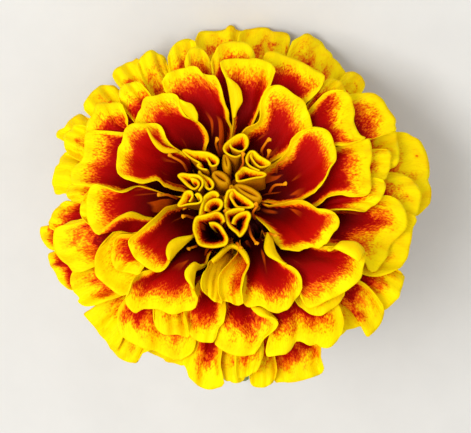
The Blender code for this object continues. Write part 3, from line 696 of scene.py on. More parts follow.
rimPetals = [
    dict(azimuth=15,
         right=[(224, -6), (244, -2)],
         tip=[(259, 1), (267, 7), (272, 12), (277, 17), (279, 22), (280, 35), (279, 42), (275, 51),
            (277, 56), (277, 72), (274, 87), (272, 93), (267, 103), (264, 108), (259, 112),
            (252, 115), (246, 119)],
         left=[(238, 120.5), (226, 120), (210, 112)]),
    dict(azimuth=47,
         right=[(162, 156), (172, 168)],
         tip=[(180, 177), (184, 184), (185, 190), (183, 195), (180, 200), (175, 204), (170, 206.5),
            (165, 207)],
         left=[(157, 206), (146, 192)]),
    dict(azimuth=62,
         right=[(128, 176), (137, 187), (146, 196), (153, 203)],
         tip=[(158, 209), (156, 214), (152, 219), (149, 223), (144, 226), (139, 228), (138, 232),
            (134, 236), (129, 240), (125, 247), (121, 251), (116, 254), (111, 256.5), (105, 261),
            (99, 261), (92, 257), (86, 254)],
         left=[(81, 250), (76, 238), (70, 220)]),
    dict(azimuth=80,
         right=[(68, 214), (74, 229), (77, 240)],
         tip=[(78, 249), (78, 256), (75, 261), (70, 263), (64, 264), (57, 264), (52, 265),
            (48, 269), (44, 271), (38, 271), (32, 270.5), (20, 268), (14, 267.5), (8, 264)],
         left=[(4, 258), (2, 248), (3, 230)]),
    dict(azimuth=95,
         right=[(14, 236), (18, 254)],
         tip=[(17, 267), (12, 269), (6, 269), (0, 270), (-3, 273.5), (-8, 274), (-11, 272),
            (-15, 267.5), (-22, 266), (-30, 265), (-42, 265.5), (-51, 264.5), (-54, 261)],
         left=[(-57, 255), (-58, 246), (-54, 230)]),
    dict(azimuth=128,
         right=[(-124, 196), (-134, 214)],
         tip=[(-140, 226), (-147, 222), (-155, 220), (-162, 216), (-170, 212), (-174, 208),
            (-176, 202), (-174, 197)],
         left=[(-170, 190), (-160, 178)]),
    dict(azimuth=138,
         right=[(-150, 168), (-164, 184)],
         tip=[(-173, 191), (-180, 191.5), (-188, 191), (-194, 188), (-199, 183), (-205, 178),
            (-210, 172), (-214, 166), (-217, 160)],
         left=[(-216, 152), (-206, 142)]),
    dict(azimuth=151,
         right=[(-196, 136), (-210, 147)],
         tip=[(-221, 150), (-228, 146), (-234, 141), (-239, 136), (-242, 131), (-245, 127),
            (-250, 125), (-254, 122), (-256, 118), (-255, 113)],
         left=[(-245, 109), (-230, 102)]),
    dict(azimuth=166,
         right=[(-216, 92), (-232, 95)],
         tip=[(-243, 96), (-247, 90), (-251, 83), (-252, 76), (-257, 71), (-259, 64), (-262, 52),
            (-262, 46), (-260, 41), (-259, 36), (-257, 32)],
         left=[(-251, 31), (-243, 33), (-226, 32)]),
    dict(azimuth=179, tipShare=0.3,
         right=[(-214, 22), (-230, 25)],
         tip=[(-240, 24), (-248, 20), (-252, 15), (-258, 10), (-262, 4), (-264, -2),
            (-267, -8)],
         left=[(-266, -16), (-250, -24)]),
    dict(azimuth=-174, tipShare=0.25,
         right=[(-246, -6), (-260, -9)],
         tip=[(-270, -11), (-275, -10.5), (-278.5, -12), (-280, -18), (-279, -26), (-276, -33),
            (-272, -40), (-268, -45)],
         left=[(-260, -49), (-244, -48)]),
    dict(azimuth=-162, tipShare=0.2,
         right=[(-240, -42), (-256, -47)],
         tip=[(-266, -49.5), (-268.5, -55), (-266.5, -63), (-265, -69), (-261, -75), (-257, -81),
            (-254, -89), (-250, -95), (-244, -100)],
         left=[(-238, -104), (-229, -105), (-212, -98)]),
    dict(azimuth=-141,
         right=[(-176, -112), (-192, -124), (-203, -130)],
         tip=[(-208, -137), (-217, -139), (-213, -145), (-207, -152), (-200, -160), (-194, -169),
            (-186, -177), (-182, -183), (-178, -190)],
         left=[(-171, -193), (-164, -182), (-158, -168)]),
    dict(azimuth=-127,
         right=[(-164, -158), (-175, -172), (-179, -185)],
         tip=[(-169, -198), (-164, -202), (-159, -205), (-153, -208), (-147, -209), (-141, -209),
            (-138, -203), (-135, -198), (-131, -195)],
         left=[(-124, -192), (-118, -184), (-112, -170)]),
    dict(azimuth=-79,
         right=[(16, -198), (19, -214), (20.5, -228)],
         tip=[(21, -236), (23.5, -241), (28, -243.5), (35, -244.5), (42, -244), (48, -241),
            (53, -237)],
         left=[(57, -230), (59, -216), (56, -200)]),
    dict(azimuth=-65, tipShare=0.55,
         right=[(49, -198), (52, -214), (55, -226)],
         tip=[(58, -232.5), (63, -233), (70, -234), (76, -236), (84, -236.5), (92, -235),
            (100, -233), (108, -230.5), (115, -228), (120, -226), (124, -223)],
         left=[(126.5, -217), (125, -211), (123, -205), (121.5, -199), (122, -192),
            (121, -178)]),
]


def inMillimetres(outline):
    return [(x / 10, y / 10) for x, y in outline]


for tracedPetal in innerPetals + secondPetals + thirdPetals + fourthPetals + rimPetals:
    for traced in [tracedPetal] + tracedPetal.get("lobes", []):
        for key in ("right", "tip", "left", "held", "free"):
            if key in traced:
                traced[key] = inMillimetres(traced[key])


# Layers of traced petals, all in millimetres. heights: of the petals' middles over their distance
# from the axis. rise and riseAtTip: how far the margins stand above the middle, near the disc and
# at the tip. lip: how far the very margin turns up.

tracedLayers = [
    dict(name="petalsInner", petals=innerPetals, rise=1.5, riseAtTip=0.7, lip=0.35, waves=0.28,
         heights=[(0.0, 5.6), (3.0, 5.6), (5.0, 5.7), (6.5, 6.1), (8.0, 6.9), (10.0, 8.7),
                  (12.5, 10.5), (15.0, 11.7), (17.5, 12.2), (20.0, 12.3), (24.0, 12.0)],
         sideBand=0.8, tipBand=2.0, tipSoft=2.8, spread=0.48, blotches=0.4, veins=0.2),
    dict(name="petalsSecond", petals=secondPetals, rise=0.9, riseAtTip=0.4, lip=0.25, waves=0.3,
         heights=[(4.6, -1.6), (5.4, 0.5), (6.6, 3.2), (9.0, 6.6), (12.0, 8.8), (16.0, 9.9),
                  (19.0, 9.9), (22.0, 9.6), (25.0, 9.0)],
         sideBand=0.9, tipBand=2.5, tipSoft=3.0, spread=0.46, blotches=0.6, veins=0.2),
    dict(name="petalsThird", petals=thirdPetals, rise=0.7, riseAtTip=0.3, lip=0.25, waves=0.35,
         heights=[(4.6, -1.6), (6.0, 1.5), (8.0, 4.4), (11.0, 6.8), (15.0, 8.1), (19.0, 8.3),
                  (22.0, 7.8), (25.0, 7.2), (28.0, 6.5)],
         sideBand=1.1, tipBand=3.2, tipSoft=3.8, spread=0.5, blotches=0.7, veins=0.2),
    dict(name="petalsFourth", petals=fourthPetals, rise=0.6, riseAtTip=0.3, lip=0.2, waves=0.4,
         heights=[(4.6, -1.6), (6.0, 0.8), (8.5, 3.2), (12.0, 5.2), (16.0, 6.5), (20.0, 6.7),
                  (23.0, 6.2), (26.0, 5.5), (29.0, 4.6)],
         sideBand=1.2, tipBand=4.2, tipSoft=4.8, spread=0.52, blotches=0.85, veins=0.25),
    dict(name="petalsRim", petals=rimPetals, rise=0.5, riseAtTip=0.2, lip=0.2, waves=0.45,
         heights=[(4.6, -1.6), (6.0, 0.0), (9.0, 2.2), (13.0, 3.8), (18.0, 4.6), (22.0, 4.4),
                  (25.0, 3.6), (28.0, 2.6), (30.0, 1.6)],
         sideBand=1.3, tipBand=5.3, tipSoft=5.8, spread=0.55, blotches=0.95, veins=0.3),
]

tracing = dict(
    seed=7,
    startHeight=8.0,
    heightPasses=8,
    perspectivePasses=3,
    heightSteps=200,
    marginSteps=300,
    riseFades=(0.3, 1.0),
    risePower=2.2,
    lipTurns=(0.78, 1.0),
    crestsStart=(0.2, 0.9),
    fineCrest=0.5,
    sideCrest=0.7,
    clawRows=7,
    clawRadius=4.9,
    clawHeight=-1.5,
    clawHalfWidth=0.9,
    clawBow=1.5,
    throatRows=3,
    throatRed=1.4,
    throatReach=1.3,
    throatRadius=3.7,
    marginStart=6.8,  # where the hidden part of an outer petal's margins starts
    marginHalfWidth=1.7,
    marginStep=1.6,
    length=22.0,
    lobeAcross=12,
    lobeAlong=36,
    lobeGap=0.15,
    lobeLift=0.35,
    lobeArch=0.45,
    lobeEndDrop=0.35,
    lobeFrontShare=0.7,  # lengthShare of a lobe that shows its front, or its back
    lobeBackShare=0.9,
    farFromTip=10.0,
)

# The hidden petals that fill the head below the traced ones. Each rises from the claws at the
# slope lean, off the axis, and reaches its tip at the slope arrive, off the level, in degrees.

petalRings = [
    dict(name="petalsUnder", count=15, first=7, reach=0.0208, height=0.0050, root=0.0049,
         rise=0.0060, lean=20, arrive=-8, half=0.0056, cupRoot=65, cupTip=10, wave=0.0005, seed=44,
         sideBand=1.2, tipBand=3.6, tipSoft=2.6, spread=0.5, blotches=0.8, veins=0.5,
         foldChance=0.1),
    dict(name="petalsLowest", count=12, first=12, reach=0.0228, height=-0.0012, root=0.0049,
         rise=0.0050, lean=24, arrive=-36, half=0.0058, cupRoot=55, cupTip=0, wave=0.0006, seed=65,
         sideBand=1.3, tipBand=5.5, tipSoft=5.8, spread=0.55, blotches=0.95, veins=0.3,
         foldChance=0.1),
]
scatter = dict(  # ranges of the draws
    azimuth=(-0.16, 0.16),  # as a share of the step between two petals
    reach=(0.95, 1.05),
    width=(0.92, 1.1),
    lift=(-0.0006, 0.0006),
    roll=(1, 9),
    sway=(-0.0011, 0.0011),
    cups=(0.5, 1.6),
    foldedAngle=(90, 160),
    openAngle=(-30, 45),
    foldPlace=(0.6, 0.9),
    foldSpread=(0.10, 0.2),
)
blade = dict(
    thickness=0.00024,
    marginShare=0.45,  # share of the thickness left at the very margin
    clearance=0.0003,
    across=34,
    along=42,
    packing=0.25,  # how much closer together the points are at the margins
    lineSteps=121,
    rootHeight=-0.0015,
    clawHalfWidth=0.0009,
    arriveShare=0.45,
    cornerCut=0.17,
    notch=0.014,
    crenulation=0.0025,
    fineCrenulation=0.6,
    scallop=0.06,
    foldWidens=0.22,  # how much a margin turned up by fullFold widens the petal
    fullFold=150,
    pleat=0.00006,
    waveShares=(0.65, 0.35),
    sideWave=1.2,  # side waves and frill as shares of the ring's wave
    frill=0.35,
    cupLost=0.6,  # shares of the cup and of the curl that the tip loses
    curlLost=0.8,
    curl=(28, 34),  # how far every margin turns up, and how much that changes along it
    # stretches of the half width, from the middle (0) to the margin (1)
    curlTurns=(0.46, 1.0),
    foldTurns=(0.34, 0.86),
    # stretches of the length, from the claw (0) to the tip (1)
    widens=(0.08, 0.62),
    gutterFlattens=(0.20, 0.70),
    cups=(0.25, 0.60),
    tipFlattens=(0.75, 1.0),
    curlStarts=(0.25, 0.45),
    curlFades=(0.78, 1.0),
    waves=(0.55, 1.0),
    sideWaves=(0.40, 0.75),
    frills=(0.5, 0.8),
    pleats=(0.35, 0.8),
    rolls=(0.20, 0.70),
)
# half waves of the ripples, over the half width or over the length
halfWaves = dict(
    notch=3, crenels=6.3, fineCrenels=11.7, scallops=4.6, curl=3.4, across=1.5, fineAcross=3.4,
    sides=4.4, frill=13, pleats=9, crests=1.6, fineCrests=3.7, sideCrests=3.1,
)
underMap = dict(cell=0.0005, half=0.034, clawsSpread=(0.006, 0.010), widen=3, smooth=5)


def ripple(name, place, phase):
    return np.sin(halfWaves[name] * math.pi * place + phase)


# Places across a petal, from -1 at its right margin to 1 at its left one
def acrossGrid():
    even = np.linspace(-1, 1, blade["across"] + 1)
    return even * (1 + blade["packing"] - blade["packing"] * even**2)


def floretDraws(ring):
    rng = random.Random(ring["seed"])
    extra = random.Random(ring["seed"] + 1000)

    def between(name):
        return rng.uniform(*scatter[name])

    step = 360 / ring["count"]
    places = [(ring["first"] + step * (i + between("azimuth")), ring["reach"] * between("reach"),
               between("width")) for i in range(ring["count"])]
    draws = []
    for azimuth, reach, width in places:
        draw = dict(
            azimuth=math.radians(azimuth),
            reach=reach,
            widthShare=width,
            lift=between("lift"),
            roll=math.radians(between("roll")),
            sway=between("sway"),
            cups=(between("cups"), between("cups")),
            phases=[rng.uniform(0, 2 * math.pi) for _ in range(6)],
            tint=extra.random(),
            finePhases=[extra.uniform(0, 2 * math.pi) for _ in range(8)],
            folds=(),
        )
        for _ in range(2):
            angle = "foldedAngle" if extra.random() < ring["foldChance"] else "openAngle"
            for name in (angle, "foldPlace", "foldSpread"):
                draw["folds"] += (extra.uniform(*scatter[name]),)
        draws.append(draw)
    return draws


# Grid of points (across, along) in the head's frame, and what the colours need to know
def petalSurface(ring, draw):
    root = np.array([ring["root"], blade["rootHeight"]])
    tip = np.array([draw["reach"], ring["height"] + draw["lift"]])
    lean, arrive = math.radians(ring["lean"]), math.radians(ring["arrive"])
    rising = root + ring["rise"] * np.array([math.sin(lean), math.cos(lean)])
    handle = blade["arriveShare"] * (draw["reach"] - ring["root"])
    arriving = tip - handle * np.array([math.cos(arrive), math.sin(arrive)])
    t = np.linspace(0, 1, blade["lineSteps"])[:, None]
    line = bezier(t, root, rising, arriving, tip)
    tangents = (1 - t) ** 2 * (rising - root) + 2 * (1 - t) * t * (arriving - rising)
    tangents = unit(tangents + t**2 * (tip - arriving))
    arcs = lengthsOf(line)
    length = arcs[-1]

    u = acrossGrid()[:, None]
    v = np.linspace(0, 1, blade["along"] + 1)[None, :]
    size = np.abs(u)
    phases, fine = draw["phases"], draw["finePhases"]

    def perSide(right, left):
        return np.where(u < 0, right, left)

    def over(stretch):
        return smoothStep(share, *blade[stretch])

    notch = np.cos(halfWaves["notch"] * math.pi * u + phases[0])
    end = 1 - blade["cornerCut"] * size**3 + blade["notch"] * notch
    crenels = ripple("crenels", u, fine[0])
    crenels = crenels + blade["fineCrenulation"] * ripple("fineCrenels", u, fine[1])
    end = end + blade["crenulation"] * crenels
    share = v * end
    radius, height = (np.interp(share * length, arcs, line[:, i]) for i in (0, 1))
    tangentR, tangentZ = (np.interp(share * length, arcs, tangents[:, i]) for i in (0, 1))

    claw = blade["clawHalfWidth"]
    half = claw + (ring["half"] * draw["widthShare"] - claw) * over("widens")
    scallops = ripple("scallops", share, perSide(fine[4], fine[5]))
    angle, place, spread = (perSide(draw["folds"][i], draw["folds"][i + 3]) for i in range(3))
    fold = angle * np.exp(-(((share - place) / spread) ** 2))
    widened = blade["foldWidens"] * np.maximum(fold, 0) / blade["fullFold"]
    half = half * (1 + blade["scallop"] * size * scallops + widened)
    gutter = ring["cupRoot"] * (1 - over("gutterFlattens"))
    cup = ring["cupTip"] * perSide(*draw["cups"]) * over("cups")
    cup = cup * (1 - blade["cupLost"] * over("tipFlattens"))
    curl, swing = blade["curl"]
    curl = curl + swing * ripple("curl", share, perSide(fine[6], fine[7]))
    curl = curl * over("curlStarts") * (1 - blade["curlLost"] * over("curlFades"))
    turned = curl * smoothStep(size, *blade["curlTurns"])
    turned = turned + fold * smoothStep(size, *blade["foldTurns"])
    slope = np.radians((gutter + cup) * size + turned)
    steps = np.diff(u, axis=0)

    def addUp(rate):
        parts = (rate[1:] + rate[:-1]) / 2 * steps
        total = np.concatenate([np.zeros((1, rate.shape[1])), np.cumsum(parts, axis=0)])
        return total - total[blade["across"] // 2]

    sideways = half * addUp(np.cos(slope))
    upwards = half * addUp(np.sin(slope) * np.sign(u))
    big, small = blade["waveShares"]
    waves = big * ripple("across", u, phases[4]) + small * ripple("fineAcross", u, phases[5])
    upwards = upwards + ring["wave"] * waves * over("waves")
    sides = size**2 * ripple("sides", share, perSide(phases[2], phases[3]))
    upwards = upwards + blade["sideWave"] * ring["wave"] * sides * over("sideWaves")
    frill = size**3 * ripple("frill", share, perSide(fine[2], fine[3]))
    upwards = upwards + blade["frill"] * ring["wave"] * frill * over("frills")
    pleats = np.cos(halfWaves["pleats"] * math.pi * u + fine[0])
    upwards = upwards + blade["pleat"] * pleats * over("pleats")

    roll = draw["roll"] * over("rolls")
    x = sideways * np.cos(roll) - upwards * np.sin(roll) + draw["sway"] * share**2
    y = sideways * np.sin(roll) + upwards * np.cos(roll)
    radius, height = radius - tangentZ * y, height + tangentR * y
    c, s = math.cos(draw["azimuth"]), math.sin(draw["azimuth"])
    points = np.stack([c * radius - s * x, s * radius + c * x, height], axis=-1)
    facts = colourFacts(
        sideDistance=(1 - size) * half * 1000,
        tipDistance=(end - share) * length * 1000,
        alongLength=share * length * 1000,
        acrossWidth=u * half * 1000,
        lengthShare=share,
        tint=draw["tint"],
    )
    return points, facts


def neighbours(grid):
    padded = np.pad(grid, 1, mode="edge")
    rows, columns = grid.shape
    return np.stack([padded[i:i + rows, j:j + columns] for i in range(3) for j in range(3)])


def mapCells(surface):
    cells = ((surface[..., :2] + underMap["half"]) / underMap["cell"]).astype(int)
    return cells[..., 0], cells[..., 1]


# Lowers a petal wherever it would rise into the petals above it
def sinkUnder(surface, ceiling):
    room = ceiling[mapCells(surface)] - blade["clearance"]
    need = np.maximum(surface[..., 2] - room, 0)
    free = smoothStep(np.hypot(surface[..., 0], surface[..., 1]), *underMap["clawsSpread"])
    drop = need
    for _ in range(underMap["widen"]):
        drop = neighbours(drop).max(axis=0)
    for _ in range(underMap["smooth"]):
        drop = neighbours(drop).mean(axis=0)
    sunk = surface.copy()
    sunk[..., 2] -= np.maximum(drop, need) * free
    return sunk


# Petal finish: yellow margins that break up through orange into red, which darkens down the claw,
# partly in its own colour and partly as painted shade

petalColours = dict(
    margin=srgb(251, 221, 0),
    # the margins' golden deep in the head: painted shade
    marginShaded=srgb(236, 170, 0),
    golden=srgb(246, 190, 0),
    orange=srgb(232, 106, 0),
    scarlet=srgb(196, 34, 0),
    # the red of the blade over the place along the petal: its own red, darkened towards the claw by
    # painted shade in the deep wells
    body=[(0.45, srgb(52, 0, 0)), (0.57, srgb(86, 0, 0)), (0.66, srgb(116, 0, 0)),
          (0.76, srgb(150, 1, 0)), (0.88, srgb(180, 8, 0))],
    back=srgb(240, 198, 0),
    # the backs' deeper orange towards the claw: partly their own colour, partly painted shade, and
    # in the disc painted shade down tubes and slits
    backDeepAndShaded=srgb(198, 112, 2),
    # the disc florets' outsides: an amber tone, partly their own and partly painted shade deep in
    # the disc
    amber=srgb(178, 100, 2),
    streak=srgb(222, 84, 0),
    vein=srgb(214, 120, 0),
)
# how fast each pattern changes, across and along the petal, and its noise
petalPatterns = dict(
    speckle=dict(scales=(4.4, 2.4), detail=3, roughness=0.6),
    blotches=dict(scales=(0.42, 0.34), detail=3, roughness=0.55, distortion=0.4),
    streaks=dict(scales=(1.1, 0.16), detail=0, roughness=0.4),
    veins=dict(scales=(1.7, 0.22), detail=3, roughness=0.55, distortion=0.6),
    grain=dict(scales=(9.0, 1.6), detail=3, roughness=0.6),
)
petalZones = dict(
    seedSpan=97.0,
    corner=0.35,  # how roundly the side band runs into the tip band
    speckling=1.5,
    blotching=2.4,
    spreadAbove=1.6,
    # over the place along the petal
    # the margins' painted shade lifts over this stretch, out towards the tip
    marginShadeLifts=(0.45, 0.92),
    streaksStart=(0.34, 0.44),
    streaksEnd=(0.72, 0.58),
    # the backs take on their deeper orange and painted shade over this stretch
    backShadeDeepens=(0.92, 0.45),
    # over redness, from the margin (0) to the blade (1)
    marginEnds=(0.04, 0.30),
    goldenAt=0.22,
    orangeAt=0.44,
    scarletAt=0.68,
    bladeStarts=(0.56, 0.88),
    backStarts=(0.2, 1.6),  # over the depth behind the margin
    # over a pattern's value, and how much of the colour it brings
    goldenPatches=(0.42, 0.68),
    goldenShare=0.6,
    streakPatches=(0.63, 0.71),
    streakShare=0.6,
    veinWidth=0.035,
    veinShare=0.35,
    backVeinShare=0.07,
    veinRelief=-0.5,
    roughness=(0.48, 0.66),
)


def makePetalGroup():
    colours, zones = petalColours, petalZones
    group, given, put = newGroup("petalColour", dict(
        SideDistance=1, TipDistance=1, Along=0, Across=0, Share=0.5, Tint=0.5, Face=1,
        SideBand=1, TipBand=2, TipSoft=2, Spread=0.4, Blotches=0.5, Veins=0.5, Amber=0,
    ), dict(Color="Color", Roughness="Float", Height="Float"))
    share = given["Share"]
    seed = product(group, given["Tint"], zones["seedSpan"])

    def pattern(name):
        settings = dict(petalPatterns[name])
        place = stretched(group, given["Across"], given["Along"], seed, *settings.pop("scales"))
        return noise(group, place, **settings)

    def fromMiddle(value):
        return doMath(group, "SUBTRACT", value, 0.5)

    def mixed(amount, first, second, blend="MIX"):
        return mixColour(group, amount, first, second, blend)

    def faded(value, stretch):
        return fade(group, value, *zones[stretch])

    blotches = pattern("blotches")
    side = doMath(group, "DIVIDE", given["SideDistance"], given["SideBand"])
    behindTip = doMath(group, "SUBTRACT", given["TipDistance"], given["TipBand"])
    tip = doMath(group, "ADD", doMath(group, "DIVIDE", behindTip, given["TipSoft"]), 1.0)
    depth = doMath(group, "SMOOTH_MIN", side, tip, zones["corner"])
    speckle = fromMiddle(pattern("speckle"))
    speckled = doMath(group, "MULTIPLY_ADD", speckle, zones["speckling"], depth)
    amount = product(group, given["Blotches"], zones["blotching"])
    blotched = doMath(group, "MULTIPLY_ADD", fromMiddle(blotches), amount, speckled)
    low = doMath(group, "SUBTRACT", 1.0, given["Spread"])
    high = doMath(group, "MULTIPLY_ADD", given["Spread"], zones["spreadAbove"], 1.0)
    redness = mapRange(group, blotched, low, high)
    # the margins are painted a deeper golden towards the disc, as painted shade deep in the head
    margin = mixed(faded(share, "marginShadeLifts"), colours["marginShaded"], colours["margin"])
    golden = product(group, faded(blotches, "goldenPatches"), zones["goldenShare"])
    margin = mixed(golden, margin, colours["golden"])
    stops = [(zones[name + "At"], colours[name]) for name in ("golden", "orange", "scarlet")]
    front = mixed(faded(redness, "marginEnds"), margin, colourRamp(group, redness, stops))
    # the blade's red, with painted shade deepening it towards the claw
    red = colourRamp(group, share, colours["body"])
    front = mixed(faded(redness, "bladeStarts"), front, red)
    # an orange streak or two in the throat
    where = product(group, faded(share, "streaksStart"), faded(share, "streaksEnd"))
    streaks = faded(pattern("streaks"), "streakPatches")
    streaks = product(group, streaks, where, zones["streakShare"])
    front = mixed(streaks, front, colours["streak"])
    # fine veins along the petal, seen where it is yellow
    veins = doMath(group, "ABSOLUTE", fromMiddle(pattern("veins")))
    veins = fade(group, veins, zones["veinWidth"], 0.0)
    seen = product(group, veins, given["Veins"], zones["veinShare"])
    front = mixed(seen, front, colours["vein"], "MULTIPLY")
    back = mixed(mapRange(group, depth, *zones["backStarts"]), margin, colours["back"])
    # the backs deepen towards the claw, partly their own colour and partly painted shade
    back = mixed(faded(share, "backShadeDeepens"), back, colours["backDeepAndShaded"])
    # the disc florets' backs turn amber, partly their own tone and partly painted shade
    back = mixed(given["Amber"], back, colours["amber"])
    back = mixed(product(group, veins, zones["backVeinShare"]), back, colours["vein"], "MULTIPLY")
    grain = pattern("grain")
    results = dict(
        Color=mixed(given["Face"], back, front),
        Roughness=spreadNoise(group, grain, *zones["roughness"]),
        Height=doMath(group, "MULTIPLY_ADD", veins, zones["veinRelief"], grain),
    )
    for socket, output in results.items():
        group.links.new(output, put[socket])
    return group


def petalMaterial(ring, group):
    material, tree, shader = newMaterial(ring["name"], roughness=0.55, specular=0.04)
    node = addNode(tree, "ShaderNodeGroup", node_tree=group)
    stored = dict(SideDistance="sideDistance", TipDistance="tipDistance", Along="alongLength",
                  Across="acrossWidth", Share="lengthShare", Tint="tint", Face="face")
    for socket, name in stored.items():
        tree.links.new(readAttribute(tree, name), node.inputs[socket])
    for key in ("sideBand", "tipBand", "tipSoft", "spread", "blotches", "veins", "amber"):
        if key in ring:
            node.inputs[key[0].upper() + key[1:]].default_value = ring[key]
    colour, roughness, relief = (node.outputs[name] for name in ("Color", "Roughness", "Height"))
    connectLook(tree, shader, colour, roughness, relief, strength=0.35, distance=0.0002)
    return material


# Head-frame places, in millimetres, of what the camera sees at the given places of the picture
def placeSeen(seen, height):
    tilt = shot["elevation"] - pose["axisElevation"]
    s, c = math.sin(tilt), math.cos(tilt)
    ax, ay, az = (1000 * value for value in shot["aim"])
    x, y = seen[..., 0], seen[..., 1]
    for _ in range(tracing["perspectivePasses"]):
        near = 1 + ((height - az) * c - (y - ay) * s) / (1000 * shot["distance"])
        x = ax + seen[..., 0] / near
        y = ay + (seen[..., 1] / near - s * (height - az)) / c
    return x, y


def petalHeight(layer, radius):
    line = curveThrough(layer["heights"], tracing["heightSteps"])
    return np.interp(radius, line[:, 0], line[:, 1])


# The same, at the height that a layer's petals have there, and so much above it
def placeOnPetals(seen, layer, above):
    height = np.full(seen.shape[:-1], tracing["startHeight"])
    for _ in range(tracing["heightPasses"]):
        x, y = placeSeen(seen, height)
        height = 0.5 * height + 0.5 * (petalHeight(layer, np.hypot(x, y)) + above)
    x, y = placeSeen(seen, height)
    return np.stack([x, y, height], axis=-1)


def evenly(points, shares):
    line = curveThrough(points, tracing["marginSteps"])
    arcs = lengthsOf(line)
    return np.stack([np.interp(shares * arcs[-1], arcs, line[:, i]) for i in (0, 1)], axis=-1)


def lengthsAlong(surface, axis):
    steps = np.linalg.norm(np.diff(surface, axis=axis), axis=-1)
    start = np.zeros_like(np.take(steps, [0], axis=axis))
    return np.cumsum(np.concatenate([start, steps], axis=axis), axis=axis)


# Outwards and sideways at a petal's azimuth
def outAndSide(petal):
    c, s = (turn(math.radians(petal["azimuth"])) for turn in (math.cos, math.sin))
    return np.array([c, s]), np.array([-s, c])


# A margin of an outer petal, with its hidden part between the disc and the first point
def wholeMargin(petal, points, turn):
    out, side = outAndSide(petal)
    start = tracing["marginStart"] * out + turn * tracing["marginHalfWidth"] * side
    way = np.array(points[0]) - start
    count = max(2, round(np.hypot(*way) / tracing["marginStep"]))
    return [start + way * i / count for i in range(count)] + points


# Rows that carry an inner petal's throat on from its first row towards the disc
def throatRows(first, layer):
    radius = np.hypot(first[..., 0], first[..., 1])
    nearest = np.maximum(radius - tracing["throatReach"], tracing["throatRadius"])
    nearest = np.minimum(radius, nearest)
    drop = petalHeight(layer, nearest) - petalHeight(layer, radius)
    flat = first[..., :2] * (nearest / radius)[..., None]
    start = np.concatenate([flat, (first[..., 2] + drop)[..., None]], axis=-1)
    grow = np.linspace(0, 1, tracing["throatRows"], endpoint=False)[None, :, None]
    return start * (1 - grow) + first * grow


# The hidden claw, from its root to the first row of the petal
def clawRows(petal, first):
    out, side = outAndSide(petal)
    grow = np.linspace(0, 1, tracing["clawRows"], endpoint=False)[None, :, None]
    across = tracing["clawHalfWidth"] * acrossGrid()[:, None, None] * side
    flat = (tracing["clawRadius"] * out + across) * (1 - grow) + first[..., :2] * grow
    low = tracing["clawHeight"]
    height = low + (first[..., 2] - low) * grow[..., 0] ** tracing["clawBow"]
    return np.concatenate([flat, height[..., None]], axis=-1)


# Coons patch between the two margins, the line that joins their first points and the tip
def patchBetween(right, left, tip, s, t):
    base, top = ((1 - s) * right[i] + s * left[i] for i in (0, -1))
    patch = (1 - s) * right + s * left + (1 - t) * base + t * tip[:, None]
    return patch - (1 - t) * base - t * top


# Grid of points (across, along) in the head's frame, and what the colours need to know
def tracedSurface(petal, layer, rng):
    inner = layer["petals"] is innerPetals
    u = acrossGrid()[:, None]
    v = np.linspace(0, 1, blade["along"] + 1)[None, :]
    s, size = (u + 1) / 2, np.abs(u)
    right, left = petal["right"], petal["left"][::-1]
    if not inner:
        right, left = wholeMargin(petal, right, -1), wholeMargin(petal, left, 1)
    tip = evenly([petal["right"][-1]] + petal["tip"] + [petal["left"][0]], s[:, 0])
    seen = patchBetween(evenly(right, v[0]), evenly(left, v[0]), tip, s[..., None], v[..., None])

    lowering = (layer["riseAtTip"] - layer["rise"]) * smoothStep(v, *tracing["riseFades"])
    above = (layer["rise"] + lowering) * size ** tracing["risePower"]
    above = above + layer["lip"] * smoothStep(size, *tracing["lipTurns"])
    phases = [rng.uniform(0, 2 * math.pi) for _ in range(4)]
    crests = ripple("crests", u, phases[0])
    crests = crests + tracing["fineCrest"] * ripple("fineCrests", u, phases[1])
    sideCrests = ripple("sideCrests", v, np.where(u < 0, phases[2], phases[3]))
    crests = crests + tracing["sideCrest"] * size * sideCrests
    above = above + layer["waves"] * crests * smoothStep(v, *tracing["crestsStart"])
    surface = placeOnPetals(seen, layer, above)
    if inner:
        surface = np.concatenate([throatRows(surface[:, :1], layer), surface], axis=1)
    surface = np.concatenate([clawRows(petal, surface[:, :1]), surface], axis=1)

    across, along = lengthsAlong(surface, 0), lengthsAlong(surface, 1)
    tipDistance = along[:, -1:] - along
    bands = petal.get("bands", (1.0, 1.0))
    columns = surface.shape[1]
    hidden = (tracing["clawRows"], columns - v.shape[1])
    redder = np.interp(np.arange(columns), hidden, (1, 0)) * tracing["throatRed"]
    facts = colourFacts(
        sideDistance=np.minimum(across / bands[0], (across[-1:] - across) / bands[1]) + redder,
        tipDistance=tipDistance / petal.get("tipShare", 1.0),
        alongLength=tracing["length"] - tipDistance,
        acrossWidth=across - across[-1:] / 2,
        lengthShare=1 - tipDistance / tracing["length"],
        tint=rng.random(),
    )
    if petal.get("turned"):
        surface, facts = surface[::-1], {key: values[::-1] for key, values in facts.items()}
    return surface / 1000, facts


